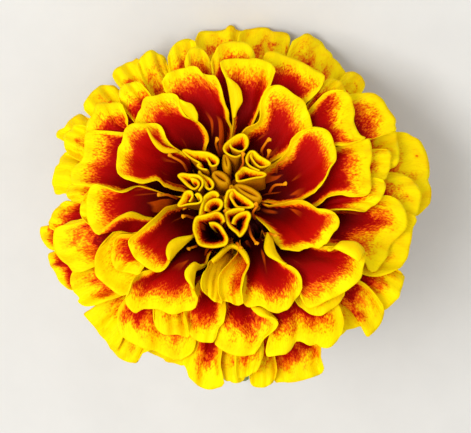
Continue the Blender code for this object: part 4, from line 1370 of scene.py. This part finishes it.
def lobeSurface(lobe, layer, tint):
    front = lobe.get("front", False)
    shares = np.linspace(0, 1, tracing["lobeAlong"] + 1)
    w = np.linspace(0, 1, tracing["lobeAcross"] + 1)[:, None]
    held, free = evenly(lobe["held"], shares), evenly(lobe["free"], shares)
    seen = (1 - w[..., None]) * held + w[..., None] * free
    above = layer["rise"] + tracing["lobeGap"] + lobe.get("lift", tracing["lobeLift"]) * w
    above = above + tracing["lobeArch"] * np.sin(math.pi * w)
    above = above - tracing["lobeEndDrop"] * np.abs(2 * shares - 1) ** 6
    surface = placeOnPetals(seen, layer, above)
    across, along = lengthsAlong(surface, 0), lengthsAlong(surface, 1)
    facts = colourFacts(
        sideDistance=across[-1:] - across,
        tipDistance=tracing["farFromTip"],
        alongLength=along,
        acrossWidth=across,
        lengthShare=tracing["lobeFrontShare" if front else "lobeBackShare"],
        tint=tint,
    )
    frontUp = gridNormals(surface)[..., 2].mean() > 0
    if frontUp != front:
        surface, facts = surface[:, ::-1], {key: values[:, ::-1] for key, values in facts.items()}
    return surface / 1000, facts


def shadowUnder(surfaces, ceiling):
    for surface in surfaces:
        shadow = np.full(ceiling.shape, np.inf)
        np.minimum.at(shadow, mapCells(surface), surface[..., 2])
        ceiling = np.minimum(ceiling, neighbours(shadow).min(axis=0))
    return ceiling


def onTable(surface):
    return pressOnTable(layDown(surface), blade["thickness"] / 2)


def addRing(ring, sheets, group):
    mesh = sheetMesh(ring["name"], sheets, blade["thickness"], blade["marginShare"])
    addPiece(ring["name"], mesh, petalMaterial(ring, group), "ray_florets")
    print(ring["name"], len(sheets), "sheets")


def makePetals():
    group = makePetalGroup()
    side = int(2 * underMap["half"] / underMap["cell"])
    ceiling = np.full((side, side), np.inf)
    rng = random.Random(tracing["seed"])
    for layer in tracedLayers:
        sheets = []
        for petal in layer["petals"]:
            surface, facts = tracedSurface(petal, layer, rng)
            parts = [(sinkUnder(surface, ceiling), facts)]
            for lobe in petal.get("lobes", []):
                surface, facts = lobeSurface(lobe, layer, rng.random())
                if not lobe.get("raised"):
                    surface = sinkUnder(surface, ceiling)
                parts.append((surface, facts))
            ceiling = shadowUnder([surface for surface, _ in parts], ceiling)
            sheets += [(onTable(surface), facts) for surface, facts in parts]
        addRing(layer, sheets, group)
    for ring in petalRings:
        sheets = []
        for draw in sorted(floretDraws(ring), key=lambda draw: -draw["lift"]):
            surface, facts = petalSurface(ring, draw)
            surface = sinkUnder(surface, ceiling)
            ceiling = shadowUnder([surface], ceiling)
            sheets.append((onTable(surface), facts))
        addRing(ring, sheets, group)


makePetals()


# The bundle of claws that the petals spread from

bundle = dict(
    profile=[(0.0030, -0.0122), (0.0046, -0.0092), (0.0049, -0.0052), (0.0050, -0.0014),
             (0.0051, 0.0010), (0.0052, 0.0030), (0.0051, 0.0043), (0.0045, 0.0050),
             (0.0030, 0.0054), (0.0014, 0.0055)],
    rings=70,
    sides=264,
    flutes=44,
    fluteDepth=0.00022,
    fluteSway=0.9,
    fluteFades=0.004,  # the flutes are full from this radius on
    colourTurns=(-1.0, 1.5),  # from below to above, in millimetres up the axis
    above=srgb(74, 5, 1),
    below=srgb(176, 150, 40),
    stain=srgb(120, 60, 10),
    stains=(0.35, 0.7, 0.0, 0.6),  # over the cloud, from none to their full strength
    cloud=dict(scale=1500.0, detail=4, roughness=0.6),
    roughness=(0.6, 0.8),
)


def makeBundle():
    angles = circle(bundle["sides"])
    line = curveThrough(bundle["profile"], bundle["rings"])
    sway = bundle["fluteSway"] * np.sin(3 * angles)
    flute = bundle["fluteDepth"] * np.cos(bundle["flutes"] * angles + sway)
    radius = line[:, :1] + flute * np.minimum(1, line[:, :1] / bundle["fluteFades"])
    height = line[:, 1:] + 0 * angles
    facts = dict(headHeight=height * 1000)
    mesh = ringedMesh("clawBundle", [(layDown(ringsAt(radius, angles, height)), facts)])

    material, tree, shader = newMaterial("clawBundle", roughness=0.7, specular=0.15)
    height = readAttribute(tree, "headHeight")
    cloud = noise(tree, objectPlace(tree), **bundle["cloud"])
    turned = fade(tree, height, *bundle["colourTurns"])
    colour = mixColour(tree, turned, bundle["below"], bundle["above"])
    stained = mapRange(tree, cloud, *bundle["stains"])
    colour = mixColour(tree, stained, colour, bundle["stain"], "MULTIPLY")
    roughness = spreadNoise(tree, cloud, *bundle["roughness"])
    connectLook(tree, shader, colour, roughness, cloud, strength=0.5, distance=0.0002)
    addPiece("clawBundle", mesh, material, "ray_florets")


makeBundle()
print("claw bundle made")


# Disc florets: quilled tubes, in millimetres. Each rim is given round its place, in tenths and
# counter-clockwise seen from above, and an open one rolls past itself. Buds are closed tubes with
# a slit on top.

disc = dict(
    floor=4.6,
    footShare=0.74,  # the foot's distance from the flower's axis as a share of the rim's
    waist=0.46,
    rowsPower=0.8,
    growPower=1.4,
    edgeWiden=1.6,  # widens the yellow of an open rim's two ends
    tilt=0.16,  # how much the outer side of a mouth sits lower
    flare=0.24,
    flareFrom=0.74,
    flarePower=2.2,
    around=96,
    up=30,
    wall=0.00030,
    marginShare=0.8,
    rimShare=0.86,
    shadeBelowRim=0.15,  # painted shade inside the tubes: loss of lengthShare per millimetre below the rim
    quills=[
        dict(place=(0.2, 6.3), height=10.8, rim=[
            (-8, 4), (-7, -1), (-2, -5), (5, -8), (11, -7), (17, 1), (18, 11), (15, 18),
            (9, 21), (1, 18), (-8, 11), (-15, 3), (-17, -4), (-14, -10), (-7, -15), (1, -17),
            (8, -14)]),
        dict(place=(3.2, 4.3), height=10.4, rim=[
            (-8, 12), (-9, 7), (-6, 1), (-1, -6), (5, -10), (12, -9), (18, -6), (19, -2),
            (12, 3), (4, 8), (-3, 15), (-9, 15), (-14, 8), (-15, -1), (-11, -8), (-3, -13),
            (4, -16)]),
        dict(place=(2.1, 2.3), height=10.2, foot=(2.7, 1.7), waist=0.85, closed=True, rim=[
            (-12, 7), (-18, 0), (-18, -6), (-17, -11), (-11, -11), (-1, -8), (9, -5), (19, -3),
            (24, 1), (21, 4), (12, 6), (3, 8), (-4, 11), (-9, 11)]),
        dict(place=(0.4, -1.6), height=10.0, rim=[
            (-7, 14), (-10, 7), (-7, 0), (-1, -8), (6, -10), (16, -10), (23, -8), (24, -5),
            (18, 1), (9, 7), (1, 12), (-5, 17), (-13, 14), (-16, 5), (-18, -5), (-15, -12),
            (-6, -15)]),
        dict(place=(0.6, -4.5), height=10.4, rim=[
            (9, 15), (2, 16), (-8, 14), (-17, 10), (-18, 2), (-13, -10), (-3, -19), (3, -24),
            (11, -14), (14, -4), (17, 5), (13, 11), (3, 9), (-5, 3), (-9, -6)]),
        dict(place=(-3.2, -6.1), height=10.8, rim=[
            (19, 10), (16, 19), (8, 24), (-1, 22), (-10, 20), (-20, 18), (-24, 11), (-25, 0),
            (-22, -10), (-18, -20), (-11, -24), (1, -26), (12, -25), (21, -22), (23, -14),
            (19, -5), (13, 4), (5, 9), (-3, 9)]),
        dict(place=(-3.4, -2.2), height=10.2, rim=[
            (13, 12), (10, 17), (4, 19), (-3, 16), (-9, 10), (-12, -1), (-14, -10), (-14, -17),
            (-6, -16), (3, -13), (13, -9), (18, -1), (15, 6), (7, 8), (-1, 5), (-6, -1),
            (-7, -9)]),
        dict(place=(-5.8, 1.2), height=10.4, rim=[
            (9, -15), (14, -7), (14, 2), (7, 9), (-5, 11), (-16, 13), (-21, 10), (-16, 3),
            (-7, -7), (1, -12), (7, -9), (9, -3), (4, 3), (-3, 5)]),
        dict(place=(-4.0, 1.6), height=9.8, closed=True, rim=[
            (-9, 15), (-10, 10), (-7, 4), (-3, -2), (-1, -10), (5, -15), (10, -12), (11, -6),
            (7, 1), (0, 6), (-6, 10)]),
        dict(place=(-6.1, -1.3), height=10.2, rim=[
            (-2, -5), (1, -1), (3, 5), (0, 11), (-8, 10), (-13, 0), (-18, -8), (-15, -11),
            (-4, -9), (11, -8), (16, -3), (14, 4), (10, 7), (6, 5)]),
        dict(place=(-4.5, 4.4), height=10.6, rim=[
            (5, 3), (9, -4), (11, -9), (16, -11), (22, -8), (23, -1), (18, 5), (8, 11),
            (-3, 13), (-13, 14), (-23, 17), (-28, 15), (-20, 6), (-12, 0), (-5, -5), (-7, -9),
            (-2, -14), (7, -17)]),
    ],
    buds=[
        dict(place=(2.0, -0.1), height=9.6, long=2.1, wide=0.85, turn=-30),
        dict(place=(-1.9, 2.1), height=9.4, long=1.35, wide=0.95, turn=-40),
        dict(place=(-1.1, 4.4), height=9.7, long=1.15, wide=0.5, turn=100),
        dict(place=(-0.3, 0.6), height=9.0, long=0.55, wide=0.35, turn=100),
        dict(place=(-1.1, -0.7), height=8.8, long=0.45, wide=0.4, turn=20),
    ],
    budAround=33,
    budRows=34,
    # outline of a bud from the floor up: its two half-axes and its height, as shares
    budShape=[(0.50, 0.50, 0.0), (0.72, 0.72, 0.35), (0.94, 0.94, 0.65), (1.0, 1.0, 0.82),
              (0.98, 0.92, 0.91), (0.93, 0.78, 0.97), (0.86, 0.56, 1.0), (0.78, 0.37, 0.985),
              (0.70, 0.25, 0.93), (0.62, 0.18, 0.84), (0.50, 0.08, 0.75)],
    slitShade=0.45,  # painted shade in the slit: how fast lengthShare falls inside a bud's slit, in a millimetre
    budBend=0.25,
    bendAt=0.8,
    bendShare=0.4,
    lowBudShade=0.10,  # painted shade on lower buds: how fast lengthShare falls with a bud's height below darkFrom
    darkFrom=10.2,
    # tip distance at the top of a bud, and how fast it grows with the height below paleFrom, as
    # painted shade that makes lower buds less yellow
    budPaleness=(0.40, 0.25),
    paleFrom=9.7,
    smallBuds=9,
    smallBudTries=4000,
    smallBudReach=3.6,
    smallBudHeights=(6.0, 7.2),
    smallBudSize=(0.34, 0.62),
    smallBudWidth=(0.6, 0.9),
    smallBudGap=0.3,
    takenSteps=40,
    takenShare=0.7,  # the part of a quill's rim that keeps small buds out
    rimShade=0.14,
    farFromMargin=10.0,
    tubeLength=10,
    seed=5,
)
# the disc's backs take much of the amber, partly their tone and partly painted shade
discLook = dict(name="discFlorets", sideBand=0.6, tipBand=0.95, tipSoft=1.1, spread=0.6,
                blotches=0.7, veins=0.1, amber=0.6)


# Places of the small closed buds that stand between the open florets
def smallBuds():
    rng = random.Random(disc["seed"])
    taken = [np.array(floret["place"]) for floret in disc["buds"] + disc["quills"]]
    for quill in disc["quills"]:
        rim = curveThrough(inMillimetres(quill["rim"]), disc["takenSteps"])
        taken += list(rim * disc["takenShare"] + quill["place"])
    found = []
    for _ in range(disc["smallBudTries"]):
        if len(found) == disc["smallBuds"]:
            break
        radius = disc["smallBudReach"] * math.sqrt(rng.random())
        angle = rng.uniform(0, 2 * math.pi)
        place = np.array([radius * math.cos(angle), radius * math.sin(angle)])
        size = rng.uniform(*disc["smallBudSize"])
        if min(np.hypot(*(place - other)) for other in taken) < size + disc["smallBudGap"]:
            continue
        taken.append(place)
        height = rng.uniform(*disc["smallBudHeights"])
        wide = size * rng.uniform(*disc["smallBudWidth"])
        turn = rng.uniform(0, 180)
        found.append(dict(place=place, height=height, long=size, wide=wide, turn=turn))
    return found


def discFacts(below, aroundLength, tint):
    return colourFacts(
        sideDistance=disc["farFromMargin"],
        tipDistance=below + disc["rimShade"],
        alongLength=disc["tubeLength"] - below,
        acrossWidth=aroundLength,
        # painted shade: a tube is darker the deeper it goes below the rim
        lengthShare=disc["rimShare"] - disc["shadeBelowRim"] * below,
        tint=tint,
    )


def quillSheet(quill, tint):
    closed = quill.get("closed", False)
    rim = curveThrough(inMillimetres(quill["rim"]), disc["around"], closed)
    if closed:
        rim = np.concatenate([rim, rim[:1]])
    place = np.array(quill["place"])
    tangent = unit(np.gradient(rim, axis=0))
    outward = np.stack([tangent[:, 1], -tangent[:, 0]], axis=1)
    t = np.linspace(0, 1, disc["up"])[None, :] ** disc["rowsPower"]
    tall = quill["height"] - disc["floor"]
    waist = quill.get("waist", disc["waist"])
    scale = waist + (1 - waist) * t ** disc["growPower"]
    flare = np.clip((t - disc["flareFrom"]) / (1 - disc["flareFrom"]), 0, 1)
    inset = outward[..., None] * disc["flare"] * (1 - flare ** disc["flarePower"])
    foot = np.array(quill.get("foot", place * disc["footShare"]))
    middle = foot[:, None] * (1 - t) + place[:, None] * t
    x, y = (middle[i] + rim[:, i:i + 1] * scale - inset[:, i] for i in (0, 1))
    outer = place / max(np.hypot(*place), 1.0)
    lower = (rim @ outer)[:, None] * disc["tilt"] * t
    z = disc["floor"] + tall * t - lower
    around = lengthsOf(rim)[:, None]
    facts = discFacts((1 - t) * tall, around, tint)
    if not closed:
        ends = np.minimum(around, around[-1] - around)
        facts["sideDistance"] = ends * disc["edgeWiden"] + 0 * t
    return np.stack([x, y, z], axis=-1) / 1000, facts


def budSheet(bud, tint):
    angles = np.linspace(0, 2 * math.pi, disc["budAround"])[:, None]
    shape = curveThrough(disc["budShape"], disc["budRows"])
    long, wide, up = (shape[:, i][None, :] for i in range(3))
    place = np.array(bud["place"])[:, None] * (disc["footShare"] + (1 - disc["footShare"]) * up)
    bend = disc["budBend"] * bud["wide"] * np.sin(angles + disc["bendAt"]) * (1 - wide)
    a = bud["long"] * long * np.cos(angles)
    b = bud["wide"] * wide * np.sin(angles) + bend * disc["bendShare"]
    turn = math.radians(bud["turn"])
    x = place[0] + a * math.cos(turn) - b * math.sin(turn)
    y = place[1] + a * math.sin(turn) + b * math.cos(turn)
    z = disc["floor"] + (bud["height"] - disc["floor"]) * up + 0 * angles
    steps = np.hypot(np.diff(bud["wide"] * wide), np.diff(z[:1]))
    way = np.concatenate([[0], np.cumsum(steps)])
    way = (way - way[np.argmax(shape[:, 2])])[None, :]  # from the top, down the slit
    facts = discFacts(np.abs(way), bud["long"] * angles, tint)
    # painted shade down the slit and on the buds that stand lower
    facts["lengthShare"] = facts["lengthShare"] - disc["slitShade"] * np.clip(way, 0, None)
    shaded = disc["lowBudShade"] * (disc["darkFrom"] - bud["height"])
    facts["lengthShare"] = facts["lengthShare"] - shaded
    start, growth = disc["budPaleness"]
    # painted shade: the lower a bud stands, the less yellow its top
    lessYellowInShade = growth * (disc["paleFrom"] - bud["height"])
    facts["tipDistance"] = facts["tipDistance"] + start + lessYellowInShade
    return np.stack([x, y, z], axis=-1) / 1000, facts


def makeDisc():
    rng = random.Random(disc["seed"] + 1)
    sheets = [quillSheet(quill, rng.random()) for quill in disc["quills"]]
    sheets += [budSheet(bud, rng.random()) for bud in disc["buds"] + smallBuds()]
    sheets = [(layDown(surface), facts) for surface, facts in sheets]
    mesh = sheetMesh("discFlorets", sheets, disc["wall"], disc["marginShare"])
    material = petalMaterial(discLook, bpy.data.node_groups["petalColour"])
    addPiece("discFlorets", mesh, material, "disc_florets")
    print("disc florets:", len(sheets))


makeDisc()


# Styles: forked orange threads that stand between the petals and the disc.
# Each has the foot and the tip in millimetres, and the turn of its fork in degrees.

styles = dict(
    radius=0.18,
    clubRadius=0.22,
    forkLength=0.55,
    forkSpread=17,
    bow=0.5,
    bowLift=0.6,
    taper=(1.1, 0.2),  # share of the radius at the foot, and what is lost up to the fork
    forkFrom=0.8,  # heightShare at the fork
    forkStart=0.08,  # how far down the thread the arms start
    forkRise=0.5,
    forkCurl=0.12,
    forkReach=(0.7, 1.0),
    clubPower=0.62,
    tipShare=0.6,
    rows=22,
    forkRows=12,
    sides=12,
    seed=8,
    threads=[
        ((-2.0, 6.0, 7.5), (-2.5, 6.9, 11.2), 60), ((4.0, 6.0, 7.5), (4.7, 7.0, 11.2), 20),
        ((4.3, 5.2, 7.5), (4.9, 5.5, 10.2), 80), ((5.0, 0.6, 7.5), (7.0, 0.7, 10.4), 10),
        ((2.9, -3.4, 7.5), (3.3, -2.4, 10.3), 150), ((2.0, -4.4, 8.0), (3.0, -8.0, 10.6), -60),
        ((-5.6, -3.4, 7.8), (-6.9, -4.0, 10.2), 200), ((-8.0, -0.6, 8.2), (-10.3, -1.0, 10.6), 180),
        ((-6.6, 3.6, 8.0), (-8.9, 4.8, 10.8), 150), ((0.4, 3.2, 8.0), (1.2, 4.9, 10.6), 70),
        ((-1.3, -4.6, 7.5), (-1.2, -3.4, 9.8), 100), ((0.3, -7.4, 7.5), (0.8, -8.3, 9.6), -70),
        ((6.0, 3.6, 7.5), (7.2, 4.4, 10.2), 30), ((-5.2, -7.4, 7.5), (-6.2, -8.6, 9.8), 230),
        ((4.4, -5.6, 7.5), (5.6, -6.6, 9.8), -50),
    ],
    # colours over heightShare, and how far the cloud shifts them
    colours=[(0.1, srgb(140, 44, 2)), (0.55, srgb(206, 102, 0)), (0.95, srgb(228, 148, 0))],
    colourShift=0.3,
    cloud=dict(scale=6000.0, detail=3, roughness=0.6),
    roughness=(0.45, 0.65),
)


def tubeRings(line, radii):
    tangent = unit(np.gradient(line, axis=0))
    side = unit(np.cross(tangent, [0.31, -0.83, 0.46]))  # any direction that no thread has
    other = np.cross(tangent, side)
    angles = circle(styles["sides"])[None, :, None]
    around = np.cos(angles) * side[:, None] + np.sin(angles) * other[:, None]
    return line[:, None] + radii[:, None, None] * around


def makeStyles():
    bodies = []
    rng = random.Random(styles["seed"])
    for foot, tip, turn in styles["threads"]:
        foot, tip = np.array(foot), np.array(tip)
        bow = np.array([rng.uniform(-1, 1), rng.uniform(-1, 1), styles["bowLift"]])
        bowed = (foot + tip) / 2 + styles["bow"] * bow
        t = np.linspace(0, 1, styles["rows"])
        start, loss = styles["taper"]
        rings = tubeRings(curveThrough([foot, bowed, tip], styles["rows"]),
                          styles["radius"] * (start - loss * t))
        bodies.append((rings, np.linspace(0, styles["forkFrom"], styles["rows"])[:, None]))
        for side in (-1, 1):
            aim = math.radians(turn + side * styles["forkSpread"])
            arm = np.array([math.cos(aim), math.sin(aim), styles["forkRise"]])
            end = tip + arm * styles["forkLength"] * rng.uniform(*styles["forkReach"])
            curl = (tip + end) / 2 + np.array([0, 0, styles["forkCurl"]])
            first = tip - (tip - bowed) * styles["forkStart"]
            t = np.linspace(0, 1, styles["forkRows"])
            club = np.sin(math.pi * t * styles["clubPower"])
            radii = styles["radius"] + (styles["clubRadius"] - styles["radius"]) * club
            radii[-1] *= styles["tipShare"]
            rings = tubeRings(curveThrough([first, curl, end], styles["forkRows"]), radii)
            bodies.append((rings, styles["forkFrom"] + (1 - styles["forkFrom"]) * t[:, None]))
    bodies = [(layDown(rings / 1000), dict(heightShare=height)) for rings, height in bodies]

    material, tree, shader = newMaterial("styles", roughness=0.55, specular=0.1)
    cloud = noise(tree, objectPlace(tree), **styles["cloud"])
    height = readAttribute(tree, "heightShare")
    shift = doMath(tree, "SUBTRACT", cloud, 0.5)
    height = doMath(tree, "MULTIPLY_ADD", shift, styles["colourShift"], height)
    roughness = spreadNoise(tree, cloud, *styles["roughness"])
    colour = colourRamp(tree, height, styles["colours"])
    connectLook(tree, shader, colour, roughness, cloud, strength=0.4, distance=0.0001)
    addPiece("styles", ringedMesh("styles", bodies), material, None)
    print("styles:", len(styles["threads"]))


makeStyles()


# Calyx: a ribbed green cup of joined bracts, dotted with dark oil glands, with teeth at its mouth

calyx = dict(
    outside=[(0.0021, -0.0168), (0.0024, -0.0157), (0.0029, -0.0143), (0.0046, -0.0125),
             (0.0059, -0.0093), (0.0063, -0.0052), (0.0063, -0.0026)],
    wall=0.0008,
    rimWall=0.0004,
    floorHeight=-0.0140,
    floorRadius=0.0020,
    ribs=12,
    ribHeight=0.00030,
    ribPower=1.6,
    fineRibs=60,
    fineRibShare=0.12,
    ribsGrow=(0.05, 0.35),  # over the outline, from the foot up
    teeth=12,
    toothPower=0.8,
    toothHeight=0.0015,
    toothFoot=0.0002,
    toothFlare=0.35,
    toothThinning=0.3,
    sides=240,
    rings=56,
    toothRows=12,
    wallRows=20,
    green=srgb(96, 128, 44),
    pale=srgb(150, 168, 74),
    dark=srgb(58, 84, 26),
    gland=srgb(96, 58, 16),
    blush=srgb(120, 84, 40),
    # pale ribs and foot, a brownish mouth: over what, from where to where, and how strong
    tints=[("ribMask", 0.45, 0.95, 0.75, "pale"), ("headHeight", -13.5, -16.5, 0.7, "pale"),
           ("headHeight", -2.2, -1.0, 0.6, "blush")],
    cloud=dict(scale=900.0, detail=5, roughness=0.6),
    fine=dict(scale=5200.0, detail=3, roughness=0.6),
    roughness=(0.42, 0.6),
    # oil glands: lengthwise dark spots in the furrows, cells of a pattern round the cup and up it
    glandTurns=10,
    glandScales=(0.62, 0.62),
    glandSlice=3.7,
    glandScatter=0.75,
    glandSize=(0.34, 0.24),
    glandFurrows=(0.62, 0.35),  # over ribMask
    glandHeights=(-14.0, -11.5),
    glandShare=0.85,
    glandRelief=-0.6,
)


def makeCalyx():
    angles = circle(calyx["sides"])
    wave = 0.5 + 0.5 * np.cos(calyx["ribs"] * angles)
    tooth = np.abs(((calyx["teeth"] * angles / (2 * math.pi)) % 1) * 2 - 1) ** calyx["toothPower"]
    line = curveThrough(calyx["outside"], calyx["rings"])
    t = np.linspace(0, 1, calyx["rings"])[:, None]
    # the ribs grow out of the foot and run on into the teeth
    ribs = wave ** calyx["ribPower"] + calyx["fineRibShare"] * np.cos(calyx["fineRibs"] * angles)
    radius = line[:, :1] + calyx["ribHeight"] * smoothStep(t, *calyx["ribsGrow"]) * ribs
    mouth, reach = line[-1, 1], calyx["toothHeight"] * tooth
    thinned = calyx["wall"] - calyx["rimWall"]
    up = np.linspace(0, 1, calyx["toothRows"] + 1)[1:, None]
    toothRadius = radius[-1] + calyx["toothFlare"] * reach * up
    toothRadius = toothRadius - thinned * up * calyx["toothThinning"]
    back = np.linspace(1, 0, calyx["toothRows"])[:, None]
    innerRadius = radius[-1] - calyx["rimWall"] + calyx["toothFlare"] * reach * back
    innerRadius = innerRadius - thinned * (1 - back)
    toothZ, innerZ = (mouth + (calyx["toothFoot"] + reach) * way for way in (up, back))
    down = np.linspace(1, 0, calyx["wallRows"])[1:, None]
    wallZ = calyx["floorHeight"] + (mouth - calyx["floorHeight"]) * down
    wallRadius = np.interp(wallZ, line[:, 1], line[:, 0]) - calyx["wall"]
    wallRadius = np.maximum(wallRadius, calyx["floorRadius"])
    radius = np.concatenate([radius, toothRadius, innerRadius, wallRadius + 0 * angles])
    height = np.concatenate([line[:, 1:] + 0 * angles, toothZ, innerZ, wallZ + 0 * angles])
    facts = dict(ribMask=wave, headHeight=height * 1000, turn=angles * calyx["glandTurns"])
    mesh = ringedMesh("calyxCup", [(layDown(ringsAt(radius, angles, height)), facts)])

    material, tree, shader = newMaterial("calyxGreen", roughness=0.5, specular=0.35)
    place = objectPlace(tree)
    rib, height = readAttribute(tree, "ribMask"), readAttribute(tree, "headHeight")
    cloud, fine = (noise(tree, place, **calyx[name]) for name in ("cloud", "fine"))
    colour = mixColour(tree, spreadNoise(tree, cloud), calyx["green"], calyx["dark"])
    for measure, low, high, strength, name in calyx["tints"]:
        value = rib if measure == "ribMask" else height
        share = product(tree, fade(tree, value, low, high), strength)
        colour = mixColour(tree, share, colour, calyx[name])
    aroundScale, upScale = calyx["glandScales"]
    upwards = product(tree, height, upScale)
    cells = {0: readAttribute(tree, "turn"), 1: upwards, 2: calyx["glandSlice"]}
    cells = addNode(tree, "ShaderNodeCombineXYZ", cells).outputs[0]
    cells = dict(Vector=cells, Scale=aroundScale, Randomness=calyx["glandScatter"])
    spots = addNode(tree, "ShaderNodeTexVoronoi", cells).outputs["Distance"]
    furrow = fade(tree, rib, *calyx["glandFurrows"])
    upperPart = fade(tree, height, *calyx["glandHeights"])
    gland = product(tree, fade(tree, spots, *calyx["glandSize"]), furrow, upperPart)
    share = product(tree, gland, calyx["glandShare"])
    colour = mixColour(tree, share, colour, calyx["gland"])
    roughness = spreadNoise(tree, fine, *calyx["roughness"])
    relief = doMath(tree, "MULTIPLY_ADD", gland, calyx["glandRelief"], fine)
    connectLook(tree, shader, colour, roughness, relief, strength=0.35, distance=0.00015)
    addPiece("calyxCup", mesh, material, "calyx")


makeCalyx()
print("calyx made")


# Stem, from the calyx down to the cut end on the table

stem = dict(
    calyxBottom=-0.0168,
    seatGap=0.0003,
    topRadius=0.0021,
    neckRadius=0.0012,
    endRadius=0.0011,
    neck=0.0050,
    run=0.0240,
    sway=0.0012,
    ribs=9,
    ribSway=0.5,
    ribHeight=0.00006,
    ribsGrow=(0.0005, 0.003),  # metres below the calyx
    # rings that close the cut end: share of its radius, added length and paleness
    cutRings=[(0.9, 0.0002, 0.6), (0.55, 0.0006, 1.0)],
    sides=72,
    rings=110,
    green=srgb(104, 128, 52),
    pale=srgb(146, 160, 84),
    purple=srgb(104, 60, 56),
    pith=srgb(206, 208, 158),
    paleRibs=(-0.6, 1.0),  # over ribMask
    purplePatches=(0.45, 0.68),  # over the cloud
    purpleGrows=(2.0, 18.0, 0.15, 0.8),  # millimetres below the calyx, and its strength there
    cloud=dict(scale=420.0, detail=5, roughness=0.6),
    fine=dict(scale=4200.0, detail=3, roughness=0.6),
    roughness=(0.42, 0.62),
)


def makeStem():
    top = layDown(np.array([0, 0, stem["calyxBottom"] - stem["seatGap"]]))
    end = np.array([mouthPlace[0] + stem["sway"], top[1] - stem["run"], stem["endRadius"]])
    reach = stem["run"] / 3
    t = np.linspace(0, 1, stem["rings"])[:, None]
    line = bezier(t, top, top - axis * reach, end + np.array([0, reach, 0]), end)
    tangent = unit(np.gradient(line, axis=0))
    arcs = lengthsOf(line)[:, None]
    swell = 1 - smoothStep(arcs, 0, stem["neck"])
    radius = stem["neckRadius"] + (stem["endRadius"] - stem["neckRadius"]) * arcs / arcs[-1]
    radius = radius + (stem["topRadius"] - stem["neckRadius"]) * swell
    angles = circle(stem["sides"])
    ribs = np.cos(stem["ribs"] * angles + stem["ribSway"] * np.sin(2 * angles))
    radius = radius + stem["ribHeight"] * (ribs - 1) * smoothStep(arcs, *stem["ribsGrow"])
    across = unit(np.cross(tangent, [0, 0, 1]))
    above = np.cross(across, tangent)
    c, s = (turn(angles)[:, None] for turn in (np.cos, np.sin))
    rings = line[:, None] + radius[..., None] * (c * across[:, None] - s * above[:, None])
    # rings set inwards make the cut end a flat pale face
    shares, added, pale = (np.array(values) for values in zip(*stem["cutRings"]))
    inwards = line[-1] + (rings[-1] - line[-1]) * shares[:, None, None]
    rings = np.concatenate([rings, inwards])
    rings[..., 2] = np.maximum(rings[..., 2], 0)
    facts = dict(
        ribMask=np.concatenate([ribs + 0 * arcs, np.zeros((len(shares), stem["sides"]))]),
        stemLength=np.concatenate([arcs, arcs[-1] + added[:, None]]) * 1000,
        cutFace=np.concatenate([0 * arcs, pale[:, None]]),
    )
    mesh = ringedMesh("pickedStem", [(rings, facts)])

    material, tree, shader = newMaterial("stemGreen", roughness=0.5, specular=0.35)
    place = objectPlace(tree)
    cloud, fine = (noise(tree, place, **stem[name]) for name in ("cloud", "fine"))
    rib = mapRange(tree, readAttribute(tree, "ribMask"), *stem["paleRibs"])
    colour = mixColour(tree, rib, stem["green"], stem["pale"])
    lower = mapRange(tree, readAttribute(tree, "stemLength"), *stem["purpleGrows"])
    tinge = product(tree, fade(tree, cloud, *stem["purplePatches"]), lower)
    colour = mixColour(tree, tinge, colour, stem["purple"])
    colour = mixColour(tree, readAttribute(tree, "cutFace"), colour, stem["pith"])
    roughness = spreadNoise(tree, fine, *stem["roughness"])
    connectLook(tree, shader, colour, roughness, fine, strength=0.3, distance=0.00015)
    addPiece("pickedStem", mesh, material, "stem")


makeStem()
print("stem made")


# Table, world and lamp

studio = dict(
    tableSize=2.0,
    tableColour=srgb(214, 212, 207),
    tableShade=0.94,
    tableCloud=dict(scale=60.0, detail=4, roughness=0.6),
    sky=0.78,
    lamp=2.6,
    lampSize=0.30,
    lampPlace=(-0.26, 0.16, 0.52),
)


def makeStudio():
    half = studio["tableSize"] / 2
    mesh = bpy.data.meshes.new("table")
    corners = [(-half, -half, 0), (half, -half, 0), (half, half, 0), (-half, half, 0)]
    mesh.from_pydata(corners, [], [(0, 1, 2, 3)])
    table = bpy.data.objects.new("table", mesh)
    bpy.context.scene.collection.objects.link(table)
    material, tree, shader = newMaterial("tablePaint", roughness=0.7, specular=0.3)
    cloud = noise(tree, objectPlace(tree), **studio["tableCloud"])
    pale = studio["tableColour"]
    shade = [channel * studio["tableShade"] for channel in pale[:3]] + [1]
    colour = mixColour(tree, spreadNoise(tree, cloud), pale, shade)
    tree.links.new(colour, shader.inputs["Base Color"])
    mesh.materials.append(material)
    world = bpy.data.worlds.new("studio")
    world.use_nodes = True
    background = world.node_tree.nodes["Background"].inputs
    background["Color"].default_value = (1, 1, 1, 1)
    background["Strength"].default_value = studio["sky"]
    bpy.context.scene.world = world
    data = bpy.data.lights.new("lamp", "AREA")
    data.energy = studio["lamp"]
    data.size = studio["lampSize"]
    lamp = bpy.data.objects.new("lamp", data)
    bpy.context.scene.collection.objects.link(lamp)
    lamp.location = studio["lampPlace"]
    down = mouthPlace - np.array(studio["lampPlace"])
    tilt = math.atan2(math.hypot(down[0], down[1]), -down[2])
    lamp.rotation_euler = (tilt, 0, math.atan2(-down[0], down[1]))
    bpy.context.scene.view_settings.view_transform = "Standard"


makeStudio()
print("studio lit")
